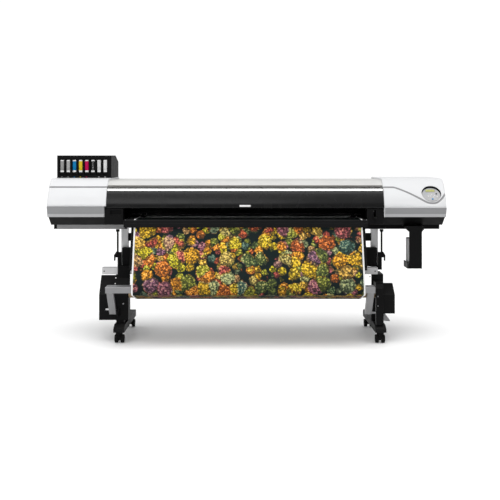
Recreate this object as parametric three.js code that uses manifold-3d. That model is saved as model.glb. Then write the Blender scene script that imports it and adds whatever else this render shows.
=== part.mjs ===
// Wide-format roll printer and cutter on a wheeled stand with a take-up unit.
// Millimetres, +Z up. The front is -Y and +X is the operator's right.
// Y is measured from the widest line of the end covers' front, until the last lines centre the whole model.
import * as THREE from "three";
import { mergeVertices } from "three/addons/utils/BufferGeometryUtils.js";
import Module from "manifold-3d";

const wasm = await Module();
wasm.setup();

// ---------------------------------------------------------------- driving dimensions
const GAP = 0.5; // between neighbours that touch
const SHELL = 4; // wall of the moulded covers
const PLATE = 3; // wall of sheet-metal parts
const FAR = 60; // how far a cutting tool runs past what it cuts

const HALF_WIDTH = 1430; // centre line to the outside of an end cover
const LOWER_HALF_WIDTH = 1424;
const BODY_REAR = 700;
const BODY_BOTTOM = 800;
const BAND_BOTTOM = 900;
const LEFT_BAND_TOP = 979;
const RIGHT_BAND_TOP = 968;
const BODY_TOP = 1176;
const LEFT_INNER = -1007; // inboard edge of the left end cover
const RIGHT_INNER = 984;
const SEAM_HEIGHT = 1114; // decorative seam across the end covers
const SEAM_WIDTH = 6;
const SEAM_DEPTH = 3;

const STAND_CENTRE = 22; // the stand is a little right of the body's centre
const LEG_OFFSET = 934; // stand centre to leg centre
const LEG_SIDES = { left: -1, right: 1 };
const FOOT = { width: 78, front: -20, rear: 665, bottom: 80, top: 130 };
const POST = { width: 88, taper: 26, front: 160, rear: 345, top: 473.5 };
const COLUMN = { width: 50, front: 295, rear: 345 };
const CASTER = { front: 12, rear: 625, trail: 18, wheelRadius: 30, halfWidth: 34, innerHalf: 10, axle: 5 };

const WEB = { left: -802, right: 824, thickness: 1.5, platenHeight: 887.2 };
const PLATEN = { left: -873, right: 860, front: -5, rear: 340, bottom: 869, top: 885 };
const LIP = { front: -52, rear: -36, bottom: 832, top: 885 };
const GRIT = { y: 190, z: 876, radius: 10, left: -848, right: 838 };
const PINCH = { y: 245, z: 908, shaftRadius: 6 };
const PINCH_ROLLER = { y: 190, z: 897.5, radius: 9, half: 15 };
const RAIL = { half: 1387, front: 330, rear: 370, bottom: 1000, top: 1040 };

const TENSION = { left: -982, right: 893, armWidth: 47, pivotY: 20, pivotZ: 216, pinRadius: 8 };
const TENSION_BAR = { front: -185, rear: -75, bottom: 386, top: 428 };
const TAKE_UP = { y: 85, z: 352, tubeRadius: 38, rollRadius: 45, left: -851, right: 975, stubRadius: 12 };
const FEED = { y: 610, z: 650, tubeRadius: 38, rollRadius: 58, left: -868, right: 890 };

const RACK = { left: -1407, right: -1005, front: 250, rear: 620, bottom: 1176.5, top: 1343 };
const CARTRIDGE = { count: 8, pitch: 45.7, firstX: -1371.5, width: 36.8, rear: 500, bottom: 1197, top: 1318 };
const SLOT_WIDTH = 38;
const PANEL = { x: 1328, y: 42, z: 1070, halfWidth: 72, halfHeight: 66, tilt: THREE.MathUtils.degToRad(56) };

// ---------------------------------------------------------------- materials
const finish = (color, roughness, metalness = 0) =>
  new THREE.MeshStandardMaterial({ color, roughness, metalness });

const WHITE = finish(0xf0f1f3, 0.4);
const BAND_GREY = finish(0x8e9092, 0.5);
const BLACK = finish(0x1d1d1e, 0.6);
const GLOSS_BLACK = finish(0x242425, 0.15);
const SILVER = finish(0xd0d0cb, 0.35, 0.7);
const LIGHT_GREY = finish(0xb4b4b4, 0.5, 0.1);
const MID_GREY = finish(0x8a8a8a, 0.5, 0.1);
const STEEL = finish(0xa9abad, 0.35, 0.9);
const RUBBER = finish(0x151515, 0.8);
const PAPER = finish(0xb98a3c, 0.6);
const CARDBOARD = finish(0xb39a78, 0.8);
const BOTTLE_GREY = finish(0x8d8f90, 0.45);
const PANEL_GREY = finish(0xb6b7b9, 0.5);
const BUTTON_DARK = finish(0x4a4d50, 0.5);
const BUTTON_BLUE = finish(0x3f7fae, 0.4);
const BUTTON_WHITE = finish(0xe4e2e0, 0.5);
const INK_COLOURS = [0x9a9a98, 0xa2a2a0, 0x2f83ae, 0xc8b43c, 0xb0265e, 0x202020, 0xc2c2c2, 0xcacaca];

// ---------------------------------------------------------------- geometry helpers
const EXTRUDE_SIDES = 4;
const X_AXIS = new THREE.Vector3(1, 0, 0);
const Y_AXIS = new THREE.Vector3(0, 1, 0);
const Z_AXIS = new THREE.Vector3(0, 0, 1);

// The corner at a [u, v, radius] point, and where its rounding starts and ends on the way to its neighbours.
function corner([u, v, radius], before, after) {
  const here = new THREE.Vector2(u, v);
  const [start, end] = [before, after].map(([nextU, nextV]) =>
    new THREE.Vector2(nextU, nextV).sub(here).setLength(radius).add(here),
  );
  return { here, start, end };
}

// A closed outline of [u, v] or [u, v, corner radius] points.
function outline(points) {
  const shape = new THREE.Shape();
  points.forEach(([u, v, radius = 0], i) => {
    const { here, start, end } = corner([u, v, radius], points.at(i - 1), points[(i + 1) % points.length]);
    if (i === 0) shape.moveTo(start.x, start.y);
    else shape.lineTo(start.x, start.y);
    if (radius > 0) shape.quadraticCurveTo(here.x, here.y, end.x, end.y);
  });
  return shape;
}

function extruded(shape, depth, curveSegments = EXTRUDE_SIDES) {
  return new THREE.ExtrudeGeometry(shape, { depth, bevelEnabled: false, curveSegments });
}

// Outline in (Y, Z), swept along X.
function alongX(points, x0, x1) {
  const shape = points instanceof THREE.Shape ? points : outline(points);
  const basis = new THREE.Matrix4().makeBasis(Y_AXIS, Z_AXIS, X_AXIS);
  return extruded(shape, x1 - x0).applyMatrix4(basis).translate(x0, 0, 0);
}

// Outline in (X, Z), swept along Y.
function alongY(points, y0, y1) {
  const shape = points instanceof THREE.Shape ? points : outline(points);
  const basis = new THREE.Matrix4().makeBasis(X_AXIS, Z_AXIS, Y_AXIS.clone().negate());
  return extruded(shape, y1 - y0).applyMatrix4(basis).translate(0, y1, 0);
}

// Outline in (X, Y), swept along Z.
function alongZ(points, z0, z1) {
  return extruded(outline(points), z1 - z0).translate(0, 0, z0);
}

const ordered = (a, b) => [Math.min(a, b), Math.max(a, b)];

function block([x0, x1], [y0, y1], [z0, z1]) {
  return new THREE.BoxGeometry(x1 - x0, y1 - y0, z1 - z0)
    .translate((x0 + x1) / 2, (y0 + y1) / 2, (z0 + z1) / 2);
}

// A turned piece about the X axis from [radius, x] points, at height z and depth y.
function turnedX(profile, y = 0, z = 0, sides = 24) {
  const points = profile.map(([radius, x]) => new THREE.Vector2(radius, x));
  return new THREE.LatheGeometry(points, sides).rotateZ(-Math.PI / 2).translate(0, y, z);
}

function rodX(radius, x0, x1, y, z, sides = 20) {
  return turnedX([[0, x0], [radius, x0], [radius, x1], [0, x1]], y, z, sides);
}

function rodZ(radius, x, y, z0, z1, sides = 20) {
  return new THREE.CylinderGeometry(radius, radius, z1 - z0, sides)
    .rotateX(Math.PI / 2)
    .translate(x, y, (z0 + z1) / 2);
}

function solid(geometry) {
  const bare = new THREE.BufferGeometry().setAttribute("position", geometry.getAttribute("position"));
  if (geometry.index) bare.setIndex(geometry.index);
  const merged = mergeVertices(bare, 1e-3);
  const vertProperties = merged.attributes.position.array;
  const triVerts = new Uint32Array(merged.index.array);
  return new wasm.Manifold(new wasm.Mesh({ numProp: 3, vertProperties, triVerts }));
}

function geometryOf(manifold) {
  const mesh = manifold.getMesh();
  const geometry = new THREE.BufferGeometry()
    .setAttribute("position", new THREE.BufferAttribute(mesh.vertProperties, mesh.numProp))
    .setIndex(new THREE.BufferAttribute(mesh.triVerts, 1))
    .toNonIndexed();
  geometry.computeVertexNormals();
  return geometry;
}

function joined(...geometries) {
  return geometryOf(geometries.map(solid).reduce((all, next) => all.add(next)));
}

function cut(base, ...tools) {
  return geometryOf(tools.map(solid).reduce((rest, tool) => rest.subtract(tool), solid(base)));
}

// Moves each edge of an anticlockwise [u, v] outline inwards by its own distance.
function inset(points, distances) {
  const edges = points.map(([u, v], i) => {
    const [nextU, nextV] = points[(i + 1) % points.length];
    const direction = new THREE.Vector2(nextU - u, nextV - v).normalize();
    const normal = new THREE.Vector2(-direction.y, direction.x);
    return { direction, start: new THREE.Vector2(u, v).addScaledVector(normal, distances[i]) };
  });
  return edges.map(({ direction, start }, i) => {
    const before = edges.at(i - 1);
    const offset = start.clone().sub(before.start);
    const along = offset.cross(direction) / before.direction.cross(direction);
    return before.start.clone().addScaledVector(before.direction, along).toArray();
  });
}

// A thin strip of even thickness that follows a line of THREE.Vector2 points, as a closed outline.
function strip(line, thickness) {
  const sideOf = (sign) =>
    line.map((point, i) => {
      const before = line[Math.max(i - 1, 0)];
      const after = line[Math.min(i + 1, line.length - 1)];
      const tangent = after.clone().sub(before).normalize();
      return [point.x - (sign * tangent.y * thickness) / 2, point.y + (sign * tangent.x * thickness) / 2];
    });
  return [...sideOf(-1), ...sideOf(1).reverse()];
}

// A (Y, Z) line with rounded corners, as sampled points.
function roundedLine(points, samplesPerCorner = 4) {
  const line = [];
  points.forEach(([u, v, radius = 0], i) => {
    if (radius === 0) {
      line.push(new THREE.Vector2(u, v));
      return;
    }
    const { here, start, end } = corner([u, v, radius], points[i - 1], points[i + 1]);
    line.push(...new THREE.QuadraticBezierCurve(start, here, end).getPoints(samplesPerCorner));
  });
  return line;
}

// ---------------------------------------------------------------- scene graph
const printerCutter = new THREE.Group();

function part(name, geometry, material, parent = printerCutter) {
  const mesh = new THREE.Mesh(geometry, material);
  mesh.name = name;
  parent.add(mesh);
  return mesh;
}

// ---------------------------------------------------------------- stand
function legCentre(side) {
  return STAND_CENTRE + LEG_SIDES[side] * LEG_OFFSET;
}

// A foot with its post, which narrows towards the rear on its inboard side.
function footGeometry(side) {
  const centre = legCentre(side);
  const nose = 25;
  const beam = alongX(
    [
      [FOOT.front, FOOT.bottom],
      [FOOT.rear, FOOT.bottom],
      [FOOT.rear, FOOT.top],
      [FOOT.front + 2 * nose, FOOT.top],
      [FOOT.front, FOOT.bottom + nose],
    ],
    centre - FOOT.width / 2,
    centre + FOOT.width / 2,
  );
  const outboard = centre + (LEG_SIDES[side] * POST.width) / 2;
  const inboard = centre - (LEG_SIDES[side] * POST.width) / 2;
  const post = alongZ(
    [
      [outboard, POST.front],
      [inboard, POST.front],
      [inboard + LEG_SIDES[side] * POST.taper, POST.rear],
      [outboard, POST.rear],
    ],
    FOOT.top - 1,
    POST.top,
  );
  return joined(beam, post);
}

for (const side of ["left", "right"]) {
  const centre = legCentre(side);
  part(side + "_foot", footGeometry(side), BLACK);
  const column = block(
    [centre - COLUMN.width / 2, centre + COLUMN.width / 2],
    [COLUMN.front, COLUMN.rear],
    [POST.top + GAP, BODY_BOTTOM - GAP],
  );
  part(side + "_column", column, LIGHT_GREY);
}

// Channel between the columns, with a stay rod and a hook for the media clamps at each end.
function crossbeamGeometry() {
  const left = -920;
  const right = 964;
  const [front, rear, bottom, top] = [215, COLUMN.front - GAP, 524, 660];
  const channel = alongX(
    [
      [front, bottom],
      [rear, bottom],
      [rear, bottom + PLATE],
      [front + PLATE, bottom + PLATE],
      [front + PLATE, top - PLATE],
      [rear, top - PLATE],
      [rear, top],
      [front, top],
    ],
    left,
    right,
  );
  const stays = ["left", "right"].map((side) => {
    const sign = LEG_SIDES[side];
    const end = side === "left" ? left : right;
    const rodX0 = STAND_CENTRE + sign * 976;
    const arm = block(ordered(end + sign * 6, rodX0), [214, 244], [500, 628]);
    const foot = block(ordered(end - sign, end + sign * 7), [214.5, 243.5], [500.5, 530]);
    const rod = rodZ(7, rodX0, 229, 600, 790, 12);
    const head = rodZ(14, rodX0, 229, 780, 797, 16);
    const hook = alongY(
      [
        [rodX0, 632],
        [rodX0, 590],
        [rodX0 + sign * 18, 590],
        [rodX0 + sign * 18, 566],
        [rodX0 + sign * 26, 566],
        [rodX0 + sign * 26, 608],
        [rodX0 + sign * 10, 632],
      ],
      214,
      244,
    );
    return [arm, foot, rod, head, hook];
  });
  return joined(channel, ...stays.flat());
}
part("crossbeam", crossbeamGeometry(), BLACK);

function casterWheelsGeometry() {
  const { wheelRadius: r, halfWidth: w, innerHalf: n, axle } = CASTER;
  const edge = 3;
  const half = [[0, w], [r - edge, w], [r, w - edge], [r, n + edge], [r - edge, n], [axle, n]];
  const profile = [...half.map(([radius, x]) => [radius, -x]), ...half.reverse()];
  return turnedX(profile, 0, 0, 20);
}

// Swivel plate with a cheek that carries the axle between the two wheels; its origin is the swivel axis.
function casterForkGeometry() {
  const cheekHalf = CASTER.innerHalf - 1;
  const cheek = alongX(
    [
      [-16, 74],
      [-12, 40],
      [CASTER.trail - 12, 18, 6],
      [CASTER.trail + 12, 18, 6],
      [CASTER.trail + 14, 50],
      [28, 74],
    ],
    -cheekHalf,
    cheekHalf,
  );
  const bearing = rodX(CASTER.axle + 0.4, -FAR, FAR, CASTER.trail, CASTER.wheelRadius, 16);
  const plate = rodZ(26, 0, 0, 64, 75, 20);
  const stem = rodZ(11, 0, 0, 74, FOOT.bottom - GAP, 16);
  return cut(joined(cheek, plate, stem), bearing);
}

for (const side of ["left", "right"]) {
  for (const end of ["front", "rear"]) {
    const caster = new THREE.Group();
    caster.position.set(legCentre(side), CASTER[end], 0);
    printerCutter.add(caster);
    part(`${side}_${end}_caster_fork`, casterForkGeometry(), BLACK, caster);
    const wheels = part(`${side}_${end}_caster_wheels`, casterWheelsGeometry(), RUBBER, caster);
    wheels.position.set(0, CASTER.trail, CASTER.wheelRadius);
  }
}

// ---------------------------------------------------------------- end covers
// Front line of an end cover above its lower edge, [y, z].
const COVER_FRONT = [
  [0, 982],
  [10, 1010],
  [26, 1045],
  [44, 1073],
  [66, 1102],
  [96, 1136],
  [128, 1163],
  [150, 1172],
];

function coverOutline(bottom) {
  return [
    [BODY_REAR, bottom],
    [BODY_REAR, 1120],
    [685, 1152],
    [655, BODY_TOP],
    [176, BODY_TOP],
    ...COVER_FRONT.toReversed(),
    [0, bottom],
  ];
}

// A cover shell, open at the inboard end and wherever its outline's edge has a negative wall.
function endShell(points, walls, outboard, inboard) {
  const sign = Math.sign(inboard - outboard);
  const outer = alongX(points, ...ordered(outboard, inboard));
  const inner = alongX(inset(points, walls), ...ordered(outboard + sign * SHELL, inboard + sign * FAR));
  return cut(outer, inner);
}

// The tool that cuts a seam of even depth along a line of [x, z] points on the cover's front.
function seamTool(line) {
  const ribbon = alongY(strip(line, SEAM_WIDTH), -FAR, 160);
  const core = alongX(coverOutline(RIGHT_BAND_TOP), -HALF_WIDTH - 2 * FAR, HALF_WIDTH + 2 * FAR)
    .translate(0, SEAM_DEPTH, -SEAM_DEPTH / 2);
  return cut(ribbon, core);
}

// A cover shell, open below and at its inboard end.
function coverShell(bandTop, outboard, inboard) {
  const points = coverOutline(bandTop + GAP);
  const walls = points.map((point, i) => (i === points.length - 1 ? -FAR : SHELL));
  return endShell(points, walls, outboard, inboard);
}

const leftSeam = [
  new THREE.Vector2(-HALF_WIDTH - 5, SEAM_HEIGHT),
  new THREE.Vector2(LEFT_INNER + 5, SEAM_HEIGHT),
];
part(
  "left_cover",
  cut(coverShell(LEFT_BAND_TOP, -HALF_WIDTH, LEFT_INNER), seamTool(leftSeam)),
  WHITE,
);

// The right seam leaves the centre level, sweeps down under the control panel and rises to the outer edge.
const rightSeam = new THREE.CatmullRomCurve3(
  [
    [RIGHT_INNER - 5, 1112],
    [1040, 1112.5],
    [1073, 1109],
    [1149, 1080],
    [1218, 1046],
    [1287, 1009],
    [1324, 1001],
    [1360, 1005],
    [1394, 1028],
    [HALF_WIDTH + 4, 1074],
  ].map(([x, z]) => new THREE.Vector3(x, z, 0)),
  false,
  "centripetal",
).getPoints(24).map(({ x, y }) => new THREE.Vector2(x, y));

const ellipse = (halfWidth, halfHeight) =>
  new THREE.Shape().absellipse(0, 0, halfWidth, halfHeight, 0, 2 * Math.PI, false);

function inPanelPlane(geometry) {
  return geometry.rotateX(PANEL.tilt).translate(PANEL.x, PANEL.y, PANEL.z);
}

const panelHole = inPanelPlane(
  extruded(ellipse(PANEL.halfWidth, PANEL.halfHeight), 2 * FAR, 40).translate(0, 0, -FAR),
);
part(
  "right_cover",
  cut(coverShell(RIGHT_BAND_TOP, HALF_WIDTH, RIGHT_INNER), seamTool(rightSeam), panelHole),
  WHITE,
);

function trimGeometry(top, outboard, inboard) {
  const points = [
    [26, BAND_BOTTOM + GAP],
    [BODY_REAR - 4, BAND_BOTTOM + GAP],
    [BODY_REAR - 4, top],
    [0, top],
  ];
  return endShell(points, [-FAR, SHELL, -FAR, SHELL], outboard, inboard);
}
part("left_trim", trimGeometry(LEFT_BAND_TOP, -HALF_WIDTH, -1019), BAND_GREY);
part("right_trim", trimGeometry(RIGHT_BAND_TOP, HALF_WIDTH, 989), BAND_GREY);

function trayGeometry(outboard, inboard) {
  const points = [
    [34, BAND_BOTTOM],
    [124, 838],
    [222, 836],
    [222, BODY_BOTTOM],
    [BODY_REAR - 10, BODY_BOTTOM],
    [BODY_REAR - 10, BAND_BOTTOM],
  ];
  return endShell(points, [SHELL, SHELL, SHELL, SHELL, SHELL, -FAR], outboard, inboard);
}

function frontBlock(left, right) {
  return alongX([[14, 850, 6], [118, 850], [118, 964.5], [14, 964.5, 10]], left, right);
}

function leftLowerCover() {
  const window = block([-979, -898], [-FAR, 28], [919, 950]);
  return cut(joined(trayGeometry(-LOWER_HALF_WIDTH, -885), frontBlock(-1018, -885)), window);
}
part("left_lower_cover", leftLowerCover(), BLACK);

const LEVER_SLOT = { left: 908, right: 925, bottom: 880, top: 952 };
const INLET = { left: 1180, right: 1232, bottom: 836, top: 872 };

function rightLowerCover() {
  const slot = block([LEVER_SLOT.left, LEVER_SLOT.right], [-FAR, 160], [LEVER_SLOT.bottom, LEVER_SLOT.top]);
  const inlet = block(
    [INLET.left - GAP, INLET.right + GAP],
    [BODY_REAR - FAR, BODY_REAR + FAR],
    [INLET.bottom - GAP, INLET.top + GAP],
  );
  return cut(joined(trayGeometry(LOWER_HALF_WIDTH, 862), frontBlock(862, 978)), slot, inlet);
}
part("right_lower_cover", rightLowerCover(), BLACK);

function inletGeometry() {
  const middle = (INLET.left + INLET.right) / 2;
  const height = (INLET.bottom + INLET.top) / 2;
  const body = block([INLET.left, INLET.right], [650, BODY_REAR - 2], [INLET.bottom, INLET.top]);
  const recess = alongY(
    [
      [middle - 12, height - 8],
      [middle + 12, height - 8],
      [middle + 12, height + 4],
      [middle + 8, height + 8],
      [middle - 8, height + 8],
      [middle - 12, height + 4],
    ],
    BODY_REAR - 24,
    BODY_REAR + FAR,
  );
  const blades = [-7, 0, 7].map((dx) =>
    block([middle + dx - 1, middle + dx + 1], [BODY_REAR - 26, BODY_REAR - 8], [height - 4, height + 1]),
  );
  return joined(cut(body, recess), ...blades);
}
part("power_inlet", inletGeometry(), BLACK);

// ---------------------------------------------------------------- centre covers
function bentSheet(points, x0, x1, thickness = PLATE) {
  return alongX(strip(roundedLine(points), thickness), x0, x1);
}
const CENTRE_LEFT = LEFT_INNER + GAP;
const CENTRE_RIGHT = RIGHT_INNER - GAP;

part(
  "top_cover",
  bentSheet([[82, 1112], [80, 1120, 3], [150, 1167, 20], [640, 1171]], CENTRE_LEFT, CENTRE_RIGHT),
  SILVER,
);
part(
  "rear_cover",
  bentSheet([[644, 1171], [672, 1168, 14], [698, 1130, 14], [698, BODY_BOTTOM]], CENTRE_LEFT, CENTRE_RIGHT),
  BLACK,
);

// ---------------------------------------------------------------- front cover
function frontCoverGeometry() {
  const skin = bentSheet(
    [[84, 1106], [68, 1105, 6], [46, 1084, 12], [24, 1038, 20], [11, 998, 12], [9, 968, 6], [24, 967]],
    CENTRE_LEFT,
    CENTRE_RIGHT,
    SHELL,
  );
  const cheek = [[68, 1103], [48, 1084], [26, 1038], [13, 998], [11, 969], [30, 969], [96, 1090], [90, 1103]];
  const cheeks = [
    alongX(cheek, CENTRE_LEFT, CENTRE_LEFT + SHELL),
    alongX(cheek, CENTRE_RIGHT - SHELL, CENTRE_RIGHT),
  ];
  const grip = block([-52, 29], [-FAR, 10.5], [975, 989]);
  return cut(joined(skin, ...cheeks), grip);
}
part("front_cover", frontCoverGeometry(), GLOSS_BLACK);

// ---------------------------------------------------------------- chassis and media path
function chassisGeometry() {
  const beam = block([-1400, 1400], [232, 329], [806, 858]);
  const ends = [-1400, 1388].map((x) => block([x, x + 12], [250, 380], [806, 1045]));
  return joined(beam, ...ends);
}
part("chassis", chassisGeometry(), STEEL);

const rail = block([-RAIL.half, RAIL.half], [RAIL.front, RAIL.rear], [RAIL.bottom, RAIL.top]);
part("guide_rail", rail, STEEL);

function platenGeometry() {
  const table = block([PLATEN.left, PLATEN.right], [PLATEN.front, PLATEN.rear], [PLATEN.bottom, PLATEN.top]);
  const slot = block(
    [GRIT.left - 2, GRIT.right + 2],
    [GRIT.y - GRIT.radius - 1, GRIT.y + GRIT.radius + 1],
    [PLATEN.bottom - FAR, PLATEN.top + FAR],
  );
  const cuttingGroove = block([PLATEN.left - FAR, PLATEN.right + FAR], [161, 169], [883.5, 900]);
  return cut(table, slot, cuttingGroove);
}
part("platen", platenGeometry(), BLACK);

function gritRollerGeometry() {
  const { radius, left, right } = GRIT;
  return turnedX([[0, left], [4, left], [4, left + 6], [radius, left + 6],
    [radius, right - 6], [4, right - 6], [4, right], [0, right]]);
}
part("grit_roller", gritRollerGeometry(), STEEL).position.set(0, GRIT.y, GRIT.z);

// Front rail that hides the exit slot, with the cutter's groove mark at its centre.
function exitGuideGeometry() {
  const body = alongX(
    [[LIP.rear, LIP.bottom], [LIP.rear, LIP.top], [LIP.front + 4, LIP.top], [LIP.front, LIP.top - 4],
      [LIP.front, 864], [LIP.front + 2, 862], [LIP.front, 860], [LIP.front, LIP.bottom]],
    PLATEN.left,
    PLATEN.right,
  );
  const notch = block([-48, 24], [LIP.front - FAR, LIP.front + 5], [867, 881]);
  return cut(body, notch);
}
part("exit_guide", exitGuideGeometry(), BLACK);

const webLine = roundedLine([
  [FEED.y - FEED.rollRadius - 1, FEED.z - 10],
  [392, 860, 30],
  [350, WEB.platenHeight, 12],
  [-30, WEB.platenHeight, 10],
  [-34, 826, 14],
  [-186.5, 440, 16],
  [-187.5, 374, 14],
  [TAKE_UP.y - 10, TAKE_UP.z - TAKE_UP.rollRadius - 1.5],
]);
part("media_web", alongX(strip(webLine, WEB.thickness), WEB.left, WEB.right), PAPER);

// Curved guide behind the web, with side returns that a plate and a bracket carry from each column.
function apronGeometry() {
  const left = WEB.left - 20;
  const right = WEB.right + 20;
  const line = [[-8, 862], [-20, 826, 14], [-46, 756, 10], [-128, 540, 10], [-112, 536]];
  const flange = [[-10, 860], [-21, 826], [-47, 756], [-127, 542], [-104, 542], [-20, 756], [6, 826],
    [6, 860]];
  const sheet = bentSheet(line, left, right);
  const flanges = [alongX(flange, left, left + PLATE), alongX(flange, right - PLATE, right)];
  const [bottom, top] = [705, 760];
  const sidePlates = [
    block([left + 0.2, left + PLATE - 0.2], [-30, COLUMN.rear - 1], [bottom, top]),
    block([right - PLATE + 0.2, right - 0.2], [-30, COLUMN.rear - 1], [bottom, top]),
  ];
  const columnOffset = COLUMN.width / 2 + GAP;
  const brackets = [
    block([legCentre("left") + columnOffset, left + 1], [COLUMN.front, COLUMN.rear], [bottom, top]),
    block([right - 1, legCentre("right") - columnOffset], [COLUMN.front, COLUMN.rear], [bottom, top]),
  ];
  return joined(sheet, ...flanges, ...sidePlates, ...brackets);
}
part("apron", apronGeometry(), BLACK);

// ---------------------------------------------------------------- pinch rollers and their lever
const PINCH_X = { left: -760, right: 780 };

function pinchBarGeometry() {
  const shaft = rodX(PINCH.shaftRadius, -850, 846, PINCH.y, PINCH.z, 16);
  const cheek = [[180, 890.5, 5], [205, 890.5], [254, 900, 5], [254, 916, 5], [200, 909], [180, 903, 5]];
  const cheeks = Object.values(PINCH_X).flatMap((x) =>
    [-1, 1].map((side) => {
      const near = x + side * (PINCH_ROLLER.half + 1);
      const far = near + side * 5;
      return alongX(cheek, ...ordered(near, far));
    }),
  );
  const axleHole = rodX(3.4, -FAR * 16, FAR * 16, PINCH_ROLLER.y, PINCH_ROLLER.z, 12);
  return cut(joined(shaft, ...cheeks), axleHole);
}
part("pinch_bar", pinchBarGeometry(), STEEL);

function pinchRollerGeometry() {
  const { radius: r, half: h } = PINCH_ROLLER;
  const stub = h + 5;
  return turnedX([[0, -stub], [3, -stub], [3, -h], [r, -h], [r, h], [3, h], [3, stub], [0, stub]], 0, 0, 16);
}
for (const [side, x] of Object.entries(PINCH_X)) {
  part(`pinch_roller_${side}`, pinchRollerGeometry(), RUBBER).position.set(x, PINCH_ROLLER.y, PINCH_ROLLER.z);
}

const LEVER = { pivotY: 100, pivotZ: 902, tipY: -16, tipZ: 894 };

function loadingLeverGeometry() {
  const hub = rodX(8, LEVER_SLOT.left + 3, LEVER_SLOT.right - 3, LEVER.pivotY, LEVER.pivotZ, 16);
  const arm = alongX(
    [[LEVER.pivotY, LEVER.pivotZ - 5], [LEVER.pivotY, LEVER.pivotZ + 5], [LEVER.tipY, LEVER.tipZ + 6, 4],
      [LEVER.tipY, LEVER.tipZ - 6, 4]],
    LEVER_SLOT.left + 3,
    LEVER_SLOT.right - 3,
  );
  const knob = alongX(
    [[LEVER.tipY - 6, LEVER.tipZ - 8, 4], [2, LEVER.tipZ - 8, 4], [2, LEVER.tipZ + 8, 4],
      [LEVER.tipY - 6, LEVER.tipZ + 8, 4]],
    LEVER_SLOT.left - 2,
    LEVER_SLOT.right + 2,
  );
  return joined(hub, arm, knob);
}
part("loading_lever", loadingLeverGeometry(), BLACK);

// ---------------------------------------------------------------- carriages
function carriageGeometry(halfWidth, front, bottom, top) {
  const body = alongX(
    [[front, bottom], [RAIL.front - 4, bottom], [RAIL.front - 4, top], [front + 30, top], [front, top - 40]],
    -halfWidth,
    halfWidth,
  );
  const across = [10 - halfWidth, halfWidth - 10];
  const rider = block(across, [RAIL.front - 5, RAIL.rear + 4], [RAIL.top + 3, RAIL.top + 18]);
  const keeper = block(across, [RAIL.rear + 2, RAIL.rear + 8], [RAIL.top - 20, RAIL.top + 18]);
  return joined(body, rider, keeper);
}
part("print_carriage", carriageGeometry(130, 122, 925, 1090), BLACK).position.x = 1200;

const CUTTER = { x: -1240, toolY: 165, toolRadius: 9, toolBottom: 905, toolTop: 1005 };

function cuttingCarriageGeometry() {
  const body = carriageGeometry(60, 180, 940, 1062);
  const holder = block([-22, 22], [145, 185], [950, 985]);
  const bore = rodZ(CUTTER.toolRadius + 0.4, 0, CUTTER.toolY, 900, 1100, 16);
  return cut(joined(body, holder), bore);
}
part("cutting_carriage", cuttingCarriageGeometry(), BLACK).position.x = CUTTER.x;

function toolHolderGeometry() {
  const { toolRadius: r, toolBottom, toolTop } = CUTTER;
  const points = [[0, toolBottom], [2, toolBottom], [r, toolBottom + 18], [r, toolTop - 12], [r - 3, toolTop],
    [0, toolTop]].map(([radius, z]) => new THREE.Vector2(radius, z));
  return new THREE.LatheGeometry(points, 16).rotateX(Math.PI / 2);
}
part("tool_holder", toolHolderGeometry(), SILVER).position.set(CUTTER.x, CUTTER.toolY, 0);

// ---------------------------------------------------------------- ink rack and cartridges
const slotCentres = Array.from({ length: CARTRIDGE.count }, (_, i) => CARTRIDGE.firstX + i * CARTRIDGE.pitch);

function inkRackGeometry() {
  const body = alongX(
    [
      [RACK.front, RACK.bottom],
      [RACK.rear, RACK.bottom],
      [RACK.rear, RACK.top - 50],
      [RACK.rear - 150, RACK.top, 14],
      [RACK.front, RACK.top, 4],
    ],
    RACK.left,
    RACK.right,
  );
  const slots = slotCentres.map((x) =>
    block(
      [x - SLOT_WIDTH / 2, x + SLOT_WIDTH / 2],
      [RACK.front - FAR, CARTRIDGE.rear + 5],
      [CARTRIDGE.bottom - GAP, CARTRIDGE.top + GAP],
    ),
  );
  return cut(body, ...slots);
}
part("ink_rack", inkRackGeometry(), BLACK);

const cartridgeOutline = [
  [RACK.front + 10, CARTRIDGE.bottom, 4],
  [CARTRIDGE.rear, CARTRIDGE.bottom],
  [CARTRIDGE.rear, CARTRIDGE.top],
  [RACK.front + 10, CARTRIDGE.top, 4],
];
slotCentres.forEach((x, i) => {
  const geometry = alongX(cartridgeOutline, -CARTRIDGE.width / 2, CARTRIDGE.width / 2);
  part(`ink_cartridge_${i + 1}`, geometry, finish(INK_COLOURS[i], 0.4)).position.x = x;
});

// ---------------------------------------------------------------- control panel
const panel = new THREE.Group();
panel.position.set(PANEL.x, PANEL.y, PANEL.z);
panel.rotation.x = PANEL.tilt;
printerCutter.add(panel);

// Button places on the panel face, across and up, with the radius of each.
const BUTTONS = {
  menu_button: { across: 39, up: 6, radius: 6, material: BUTTON_DARK },
  enter_button: { across: 8, up: -38, radius: 7, material: BUTTON_BLUE },
  left_button: { across: -22, up: -16, radius: 5, material: BUTTON_WHITE },
  right_button: { across: 42, up: -20, radius: 5, material: BUTTON_WHITE },
};
const FACE_DEPTH = 16; // face of the panel below the cover's surface
const FACE_THICKNESS = 4;
const BUTTON_HEIGHT = 4;

function buttonGeometry(radius, length) {
  return new THREE.CylinderGeometry(radius, radius, length, 16).rotateX(Math.PI / 2);
}

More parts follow.
